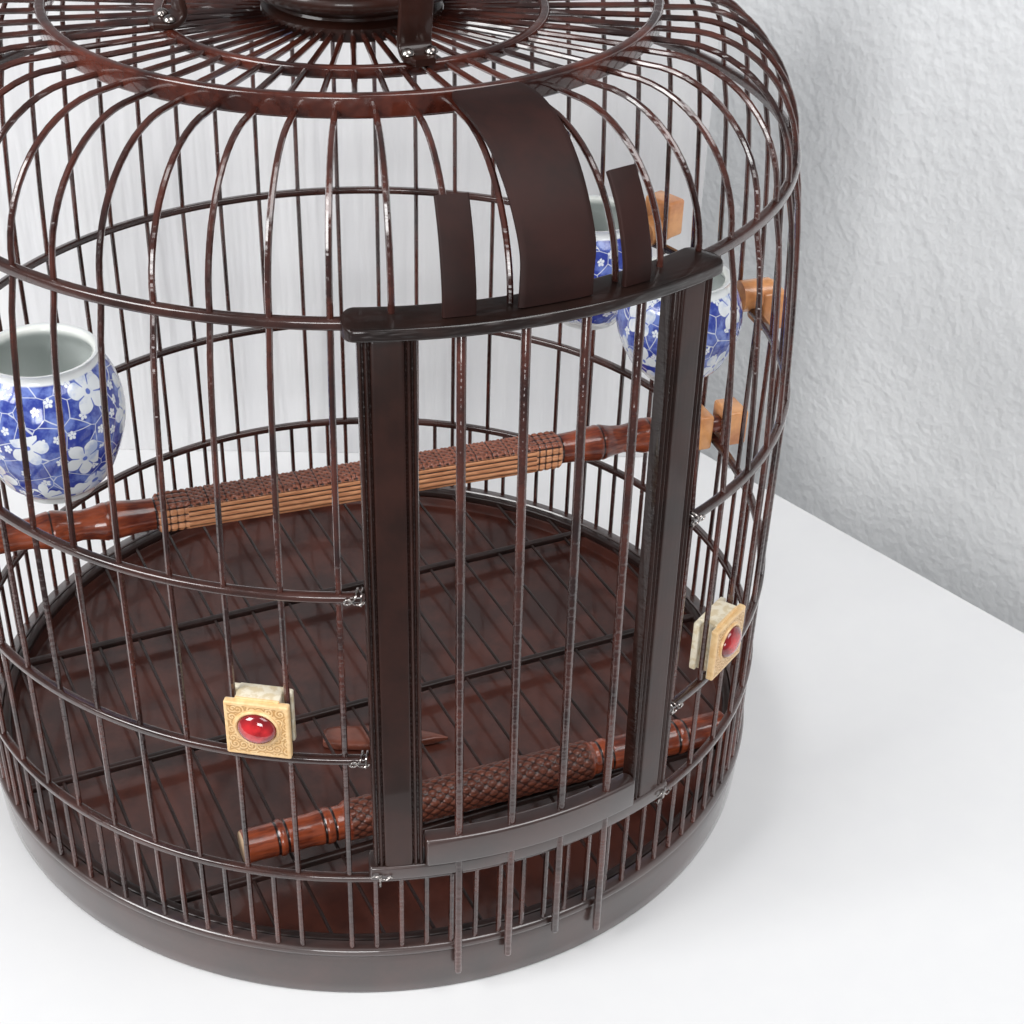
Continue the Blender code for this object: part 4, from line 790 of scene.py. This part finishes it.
# Name, bar, distance from the axis, radius, height, height of the rim, side of the block's boss
cups = (("left", -10.5, 141.5, 32.5, 65.0, 240.0, -1),
        ("right", 16.5, 154.0, 29.5, 50.0, 232.0, -1),
        ("far", 20.5, 147.0, 30.0, 55.0, 238.0, 1))
for cup_name, index, reach, radius, height, rim, turned_up in cups:
    angle = bar_angle(index)
    centre = round_cage(reach * mm, angle, 0.0)[:2]
    outer = curve(cup_shares[:-1] * [radius, height], 46)
    outer = np.concatenate([outer, [[0.52 * radius, 0.6], [0.51 * radius, 0.0]]])
    inner = outer[1:-6] - [2.3, 0]
    inner = inner[inner[:, 1] > 6]
    inner = np.concatenate([inner, [[0.62 * radius, 4.6], [0.4 * radius, 3.9], [0.2, 3.8]]])[::-1]
    lip = np.array([[outer[0, 0] - 1.8, height - 0.35], [outer[0, 0] - 1.1, height + 0.0]])
    under = np.array([[0.51 * radius - 2.2, 0.0], [0.51 * radius - 2.4, 1.1], [0.2, 1.1]])
    shape = np.concatenate([inner, lip, outer, under])
    shape[:, 1] = np.minimum(shape[:, 1], height) + rim - height
    glazed = turned(shape * mm, 96, centre)
    painted = np.zeros(len(shape))
    painted[len(inner) + 1:len(shape) - 2] = 1.0
    node = "cup_" + cup_name
    form = Form(glazed, own=glazed - [*centre, rim * mm], relief=painted[:, None])
    piece(node + "_glazed", form, blossom_glaze("porcelain_" + cup_name, height), node,
          slot="porcelain", sharp=50)
    block = outer_block + [199.0 * mm, 0, stem_z + turned_up * 6.0 * mm]
    stem = in_mm((reach + radius * 0.99, 0), (183, 0), (184, 0), (199, 0)) + [0, stem_z]
    stem = upright(stem, 3.0 * mm, 28, np.array([1.0, 1.0, 2.5, 2.5]))
    body = "cup_block_" + cup_name
    piece(body + "_wood", Form(stand(block, angle)).add(stand(stem, angle)), block_wood, body,
          body=body)

# Upper perch and its end blocks
perch_angles = bar_angle(np.array([-11.5, 17.5]))
perch_ends = round_cage(wall_radius, perch_angles, perch_hoop_z(perch_angles) + 7.07 * mm)
perch_middle = perch_ends.mean(0)
perch_half = np.linalg.norm(perch_ends[1] - perch_ends[0]) / 2
perch_along = (perch_ends[1] - perch_ends[0]) / (2 * perch_half)
perch_side = np.cross([0, 0, 1], perch_along)
perch_side /= np.linalg.norm(perch_side)
perch_axes = perch_along, perch_side, np.cross(perch_along, perch_side)


def laid(local, origin, axes):
    """Points (along, side, up) of a stick laid on three axes through its origin."""
    return origin + sum(local[..., i:i + 1] * axis for i, axis in enumerate(axes))


# Turned ends of the upper perch: radius by distance beyond the carved middle
end_profile = np.array([(0, 7.5), (3, 7.4), (9, 7.7), (16, 8.5), (21, 9.1), (24, 8.9), (29, 7.6),
                        (35, 6.9), (41, 7.6), (46, 8.8), (48, 9.0), (51, 8.6), (57, 7.3), (64, 6.8),
                        (74, 7.2), (84, 7.6)])
neck_length, neck_radius = 13.2, 4.5


def pillows(first, second):
    """Round-topped cells on a grid of unit pitch: one on their tops, zero in the grooves."""
    u, v = first - np.round(first), second - np.round(second)
    return np.sqrt(np.clip(1 - (2 * u) ** 2, 0, 1) * np.clip(1 - (2 * v) ** 2, 0, 1))


def grooved(reach, nodes, width):
    """One everywhere but in narrow grooves at the given places."""
    gap = np.abs(reach[..., None] - nodes).min(-1)
    return smooth(gap, 0, width)


carved_from, carved_to = -98.0, 103.0
perch_tip = perch_half / mm + 3.2
place = np.concatenate([np.linspace(-perch_tip, carved_from, 100)[:-1],
                        np.linspace(carved_from, carved_to, 361),
                        np.linspace(carved_to, perch_tip, 100)[1:]])[:, None]
box = curve(soft_box(16.0, 15.2, 3.0), 112, loop=True)
around = np.arange(112) / 112
turn = np.arctan2(box[:, 1], box[:, 0])
beyond = np.maximum(np.maximum(carved_from - place, place - carved_to), 0)
reach = perch_tip - np.abs(place)
end_nodes = grooved(beyond, [0.9, 22.4, 48.4], 0.9)
end_radius = np.interp(beyond, *end_profile.T) - 0.5 * (1 - end_nodes)
beyond_neck = smooth(reach, neck_length, neck_length + 2.0)
end_radius = neck_radius + (end_radius - neck_radius) * beyond_neck
inside = np.minimum(place - carved_from, carved_to - place)
middle_share = smooth(inside, -1.5, 1.5)
ring_share = 1 - smooth(inside, 13.5, 14.0)
top_share = smooth(box[:, 1], 5.0, 6.2)
row = np.round((place - carved_from) / 2.1)
scales = pillows(place / 2.1, around * 16 + 0.5 * (row % 2))
lines = np.abs(np.sin(np.pi * box[:, 1] / 2.7)) ** 0.9
rings = pillows((place - carved_from) / 3.4, around * 14)
carving = scales * top_share + lines * (1 - top_share)
carving = carving * (1 - ring_share) + rings * ring_share
depth = (0.8 * top_share + 0.5 * (1 - top_share)) * (1 - ring_share) + 0.8 * ring_share
shrink = 1 - depth * (1 - carving) / 8.0
round_share = end_radius * (1 - middle_share)
side = round_share * np.cos(turn) + box[:, 0] * shrink * middle_share
up = round_share * np.sin(turn) + box[:, 1] * shrink * middle_share
perch_relief = carving * middle_share + end_nodes * (1 - middle_share)
perch_grid = joined(place, side, up) * mm
rosewood = perch_wood("rosewood", carved_from * mm, carved_to * mm, True,
                      ((0.170, 0.050, 0.028), (0.330, 0.110, 0.062)))
form = Form(laid(perch_grid, perch_middle, perch_axes), own=perch_grid, relief=perch_relief)
inner_block = soft_block((7.6, 17.0, 19.0), 1.4)
for sign in (-1, 1):
    block = inner_block + [sign * (perch_half - 7.6 * mm), 0, 0]
    form.add(laid(block, perch_middle, perch_axes), kind=1)
piece("upper_perch_carved", form, [rosewood, block_wood], "upper_perch", sharp=60)
for side_name, sign in sides:
    block = outer_block + [sign * (perch_half + 9.6 * mm), 0, 0]
    body = "perch_block_" + side_name
    piece(body + "_wood", Form(laid(block, perch_middle, perch_axes)), block_wood, body, body=body)

# Loose perch on the floor grid
low_ends = in_mm((-102.2, -105.5, 36.6), (139.8, -116.5, 38.3)) + [axis_x, axis_y, 0]
low_along = low_ends[1] - low_ends[0]
low_length = np.linalg.norm(low_along)
low_along /= low_length
low_axes = low_along, np.cross([0, 0, 1], low_along), np.array([0.0, 0.0, 1.0])
low_shape = np.array([
    (0.0, 7.0), (0.004, 7.8), (0.04, 7.8), (0.06, 7.8), (0.075, 8.6), (0.09, 7.8), (0.13, 7.6),
    (0.15, 8.1), (0.165, 8.6), (0.18, 8.0), (0.195, 7.9), (0.205, 9.6), (0.70, 9.6),
    (0.71, 7.9), (0.725, 8.1), (0.735, 8.6), (0.75, 7.9), (0.80, 7.6), (0.86, 7.8),
    (0.885, 8.3), (0.9, 8.6), (0.915, 8.0), (0.94, 7.8), (0.996, 7.8), (1.0, 7.0)])
share = np.linspace(0, 1, 700)[:, None]
low_place = share * low_length / mm
knurl_share = smooth(share, 0.200, 0.212) * (1 - smooth(share, 0.693, 0.705))
low_nodes = grooved(share, [0.066, 0.084, 0.156, 0.176, 0.722, 0.746, 0.890, 0.910], 0.005)
turn = full_circle(96)
knurl = pillows(low_place / 6.4 + turn * 6 / np.pi, low_place / 6.4 - turn * 6 / np.pi)
low_relief = knurl * knurl_share + low_nodes * (1 - knurl_share)
low_radius = (np.interp(share, *low_shape.T) - 0.45 * (1 - low_nodes)
              - 0.9 * (1 - knurl) * knurl_share)
low_grid = joined(low_place, low_radius * np.cos(turn), low_radius * np.sin(turn)) * mm
low_wood = perch_wood("rosewood_low", 0.206 * low_length, 0.699 * low_length, False,
                      ((0.070, 0.018, 0.010), (0.170, 0.050, 0.028)))
form = Form(laid(low_grid, low_ends[0], low_axes), own=low_grid, relief=low_relief)
piece("lower_perch_turned", form, low_wood, "lower_perch", slot="rosewood", sharp=60)

# Clips with a red stone
spin = full_circle(64)
rim_line = joined(195.9, 8.3 * np.cos(spin), 7.6 * np.sin(spin)) * mm
rim_ring = carried(rim_line, circle(0.65 * mm, 8), (1, 0, 0), loop=True)
lift = np.linspace(0, np.pi / 2, 16)
gem_dome = np.concatenate([[[0.97, 0.0]], joined(np.cos(lift), 0.4 + 3.6 * np.sin(lift))])
gem_share, gem_reach = np.maximum(gem_dome[:, :1], 0.002), gem_dome[:, 1:]
gem_stone = joined(195.7 + gem_reach, 7.6 * gem_share * np.cos(spin),
                   6.9 * gem_share * np.sin(spin)) * mm
# Front plate, foot, web and rear plate: size, radius, and height above the seat
clip_parts = (((3.4, 25.5, 25.4), 0.7, 194.0, 14.4), ((9.6, 12.0, 8.0), 0.5, 189.0, 4.0),
              ((9.6, 17.4, 23.0), 0.5, 189.0, 16.6), ((3.0, 24.0, 24.2), 0.7, 185.2, 15.3))
gem_height = 15.65 * mm
for clip_name, index in (("left", -1.5), ("right", 8.5)):
    angle = bar_angle(index)
    seat = perch_hoop_z(angle) + 2.9 * mm
    raised = [0, 0, seat + gem_height]
    middle = raised + in_mm(192.3, 0, 0)
    form = Form()
    for size, edge, radius, height in clip_parts:
        part = soft_block(size, edge) + [radius * mm, 0, seat + height * mm]
        form.add(stand(part, angle), own=part - middle)
    rim, gem = rim_ring + raised, gem_stone + raised
    form.add(stand(rim, angle), loop=True, own=rim - middle)
    body = "clip_" + clip_name
    piece(body + "_plates", form, clip_bone, body, body=body)
    node = "gem_" + clip_name
    piece(node + "_stone", Form(stand(gem, angle), own=gem - middle), ruby, node, body=body)

# Claws, collar and hook
claw_bottom = 366.1
root = 70.7
claw_line = curve((np.array([
    (82.4, 1.3), (79.0, 1.3), (74.6, 1.4), (root + 0.8, 3.2), (root, 6.5), (root + 1.8, 16.5),
    (root + 3.0, 29.7), (root - 1.8, 44.9), (root * 0.78, 57.4), (root * 0.5, 64.0),
    (13.4, 66.0)]) + [0, claw_bottom]) * mm, 90)
claw_ends = np.ones((90, 1))
claw_ends[:6, 0] = np.sqrt(np.linspace(0.35, 1, 6))
screw_head = np.array([(0.1, 2.0), (1.0, 1.95), (1.8, 1.5), (2.4, 0.6), (2.5, 0.0), (1.2, 0.0),
                       (1.2, -2.9), (0.1, -2.9)])
for number, angle in enumerate((-2.0, 90.0, 178.0, -88.0), 1):
    name = "claw_%d" % number
    piece(name + "_bent", Form(strap(claw_line, 13.0 * mm, 2.6 * mm, angle, claw_ends)),
          frame_lacquer, name)
    for letter, side in (("a", 4.6), ("b", -4.6)):
        screw = turned((screw_head + [0, claw_bottom + 2.9]) * mm, 24, in_mm(76.3, side))
        node = "%s_screw_%s" % (name, letter)
        piece(node + "_head", Form(stand(screw, angle)), silver, node)

collar_z = 432.1 * mm
collar_shape = np.concatenate([
    in_mm((2.7, -4.5)),
    curve(in_mm((12.2, -4.5), (13.0, -3.8), (13.0, 0), (13.0, 2.6), (11.8, 3.9), (9.0, 4.5)), 26),
    in_mm((2.7, 4.5))]) + [0, collar_z]
piece("hook_collar_turned", Form(bent_section(collar_shape, ring_angles[::4]), loop=True),
      frame_lacquer, "hook_collar")
loop_turn = np.radians(np.linspace(-68, 196, 60))
loop_mid = 14.5 + 12.5 * np.sin(np.radians(68))
hook_line = curve(np.concatenate([
    [[0, -6.3], [0, 0], [0, 8], [0, 12.5]],
    joined(12.5 * np.cos(loop_turn), loop_mid + 12.5 * np.sin(loop_turn))]), 110) * mm
hook_path = in_plane(hook_line) + [axis_x, axis_y, collar_z]
flange = turned(in_mm((0.1, -4.8), (4.7, -4.8), (5.0, -5.2), (5.0, -7.4), (4.6, -7.8),
                      (0.1, -7.8)) + [0, collar_z], 40)
form = Form(carried(hook_path, circle(2.4 * mm, 20), (0, 1, 0))).add(flange)
piece("hook_wire", form, hook_steel, "hook", body="hook")

# Wire ties on the hoops beside the posts, and staples under the sill
tie_path = curve(in_mm(
    (-2.4, 2.4, 0.0), (-2.3, 2.2, 2.3), (2.4, 1.7, 2.3), (2.6, 1.3, -2.2), (-2.4, 0.8, -2.3),
    (-2.4, 0.3, 2.3), (2.5, -0.3, 2.3), (2.9, -1.4, 0.6), (3.0, -2.8, -0.9), (3.1, -4.2, -0.9),
    (3.4, -4.7, 0.2), (3.2, -3.6, 1.1), (3.1, -2.2, 0.6), (3.3, -0.8, -0.8), (3.2, 0.8, -1.2),
    (3.4, 2.2, -0.4), (3.5, 2.8, 0.8)), 150)
for hoop_name, height in (("upper", lambda angle: upper_hoop_z), ("lower", perch_hoop_z)):
    for side_name, sign in sides:
        angle = sign * tie_angle
        wire = tie_path * [1, -sign, 1] + [wall_radius, 0, height(angle)]
        node = "tie_%s_%s" % (hoop_name, side_name)
        piece(node + "_wire", Form(stand(carried(wire, circle(tie_radius, 8), (0, 1, 0)), angle)),
              silver, node)
staple_line = curve(in_mm((195.1, 76.8), (195.3, 73.2), (193.3, 70.5), (192.6, 67.6),
                          (190.6, 66.9), (188.6, 67.1)), 40)
twist_line = curve(in_mm((195.3, -3.8, 75.4), (195.9, -2.4, 76.6), (196.2, -0.6, 76.2),
                         (196.1, 0.8, 74.8), (196.0, 2.4, 74.6), (195.7, 3.8, 75.6),
                         (195.3, 5.0, 75.0)), 60)
twist = carried(twist_line, circle(twist_radius, 8), (1, 0, 0))
for side_name, angle in zip(("left", "right"), staple_angles):
    form = Form(stand(upright(staple_line, staple_radius, 10), angle)).add(stand(twist, angle))
    node = "staple_" + side_name
    piece(node + "_wire", form, silver, node)


# Table, wall, light and camera

view_turn, pitch, roll = np.radians([24.1, -37.29, 0.85])
away = np.array([np.sin(view_turn), np.cos(view_turn)])
aside = np.array([np.cos(view_turn), -np.sin(view_turn)])


def slab(name, corners, low, high, skin):
    """Plain upright block over four corners, given as distances (aside, away) from the cage."""
    corners = np.array(corners) @ np.stack([aside, away]) + [axis_x, axis_y]
    points = np.concatenate([joined(*corners.T, z) for z in (low, high)])
    mesh = bpy.data.meshes.new(name)
    mesh.from_pydata(points.tolist(), [], [(0, 1, 2, 3), (7, 6, 5, 4), (0, 4, 5, 1), (1, 5, 6, 2),
                                           (2, 6, 7, 3), (3, 7, 4, 0)])
    mesh.materials.append(skin)
    placed(name, mesh)


table = Finish("table_white", (0.76, 0.76, 0.76), 0.55)
table_white = table.feed(Base_Color=table.place.noise(55.0, 3.0).mix((0.75, 0.75, 0.76),
                                                                     (0.78, 0.78, 0.78)))
# The wall glows faintly though it is no lamp: painted light that lifts the shade on it near the
# cage and table.
wall = Finish("wall_grey", (0.80, 0.81, 0.82), 0.7, Emission_Color=(0.95, 0.97, 1.0, 1.0),
              Emission_Strength=0.075)
grain, dimples = wall.place.noise(70.0, 4.0), wall.place.noise(150.0, 1.0)
upper = grain.mix((0.62, 0.63, 0.64), (0.70, 0.71, 0.72))
# Its colour is painted paler towards its foot than higher up: painted light against the shade
# there.
wall_grey = wall.feed(
    Base_Color=wall.place.parts()[2].over(0.05, 0.7).mix((0.95, 0.95, 0.94), upper),
    Normal=dimples.bump(0.6, 2.5 * mm, grain.bump(0.5, 4 * mm)))
# The screen's colour darkens along the same folds that bump it: painted shade of the folds.
screen = Finish("screen_white", (0.80, 0.80, 0.81), 0.7)
folds_and_shade = screen.place.stretched(45.0, 45.0, 4.0).noise(1.0, 3.0)
screen_white = screen.feed(Base_Color=folds_and_shade.mix((0.62, 0.62, 0.64), (0.80, 0.80, 0.80)),
                           Normal=folds_and_shade.bump(0.5, 12 * mm))

slab("table", [(-0.772, 1.446), (0.70, -0.32), (0.68, -0.33), (-1.2, -0.33)], -0.04, -0.0002,
     table_white)
slab("wall", [(-0.680, 1.523), (-0.649, 1.548), (1.015, -0.449), (0.984, -0.474)], -1.0, 0.45,
     wall_grey)
slab("screen", [(-1.0, 0.27), (-1.0, 0.28), (0.185, 0.28), (0.185, 0.27)], 0.0, 0.34,
     screen_white)


def soft_light(name, place, aim, size, power):
    """Square area lamp at a place, pointing at a spot."""
    lamp = bpy.data.lights.new(name, "AREA")
    lamp.size = size
    lamp.energy = power
    turn = (Vector(aim) - Vector(place)).to_track_quat("-Z", "Y").to_matrix().to_4x4()
    placed(name, lamp).matrix_world = Matrix.Translation(place) @ turn


soft_light("window", (-1.5, -0.3, 1.3), (0, 0, 0.15), 0.9, 32.0)
soft_light("room", (0.5, -1.0, 2.0), (0, 0, 0.1), 1.2, 24.0)
soft_light("low_front", (-1.0, -1.9, 0.55), (0, 0, 0.15), 0.6, 14.0)
world = bpy.data.worlds.new("studio")
world.use_nodes = True
sky = world.node_tree.nodes["Background"].inputs
sky["Color"].default_value = (0.93, 0.96, 1.0, 1.0)
sky["Strength"].default_value = 0.24
scene = bpy.context.scene
scene.world = world
scene.view_settings.view_transform = "Standard"

eye = bpy.data.cameras.new("eye")
eye.lens, eye.sensor_width = 59.74, 36.0
eye.shift_x, eye.shift_y = 0.0497, 0.1373
level, right = Vector((*away, 0)), Vector((*aside, 0))
forward = level * np.cos(pitch) + Vector((0, 0, np.sin(pitch)))
upward = -level * np.sin(pitch) + Vector((0, 0, np.cos(pitch)))
rolled_right = right * np.cos(roll) + upward * np.sin(roll)
rolled_up = upward * np.cos(roll) - right * np.sin(roll)
turn = Matrix((rolled_right, rolled_up, -forward)).transposed().to_4x4()
scene.camera = placed("eye", eye)
scene.camera.matrix_world = Matrix.Translation((axis_x - 0.2391, axis_y - 0.6494, 0.5688)) @ turn
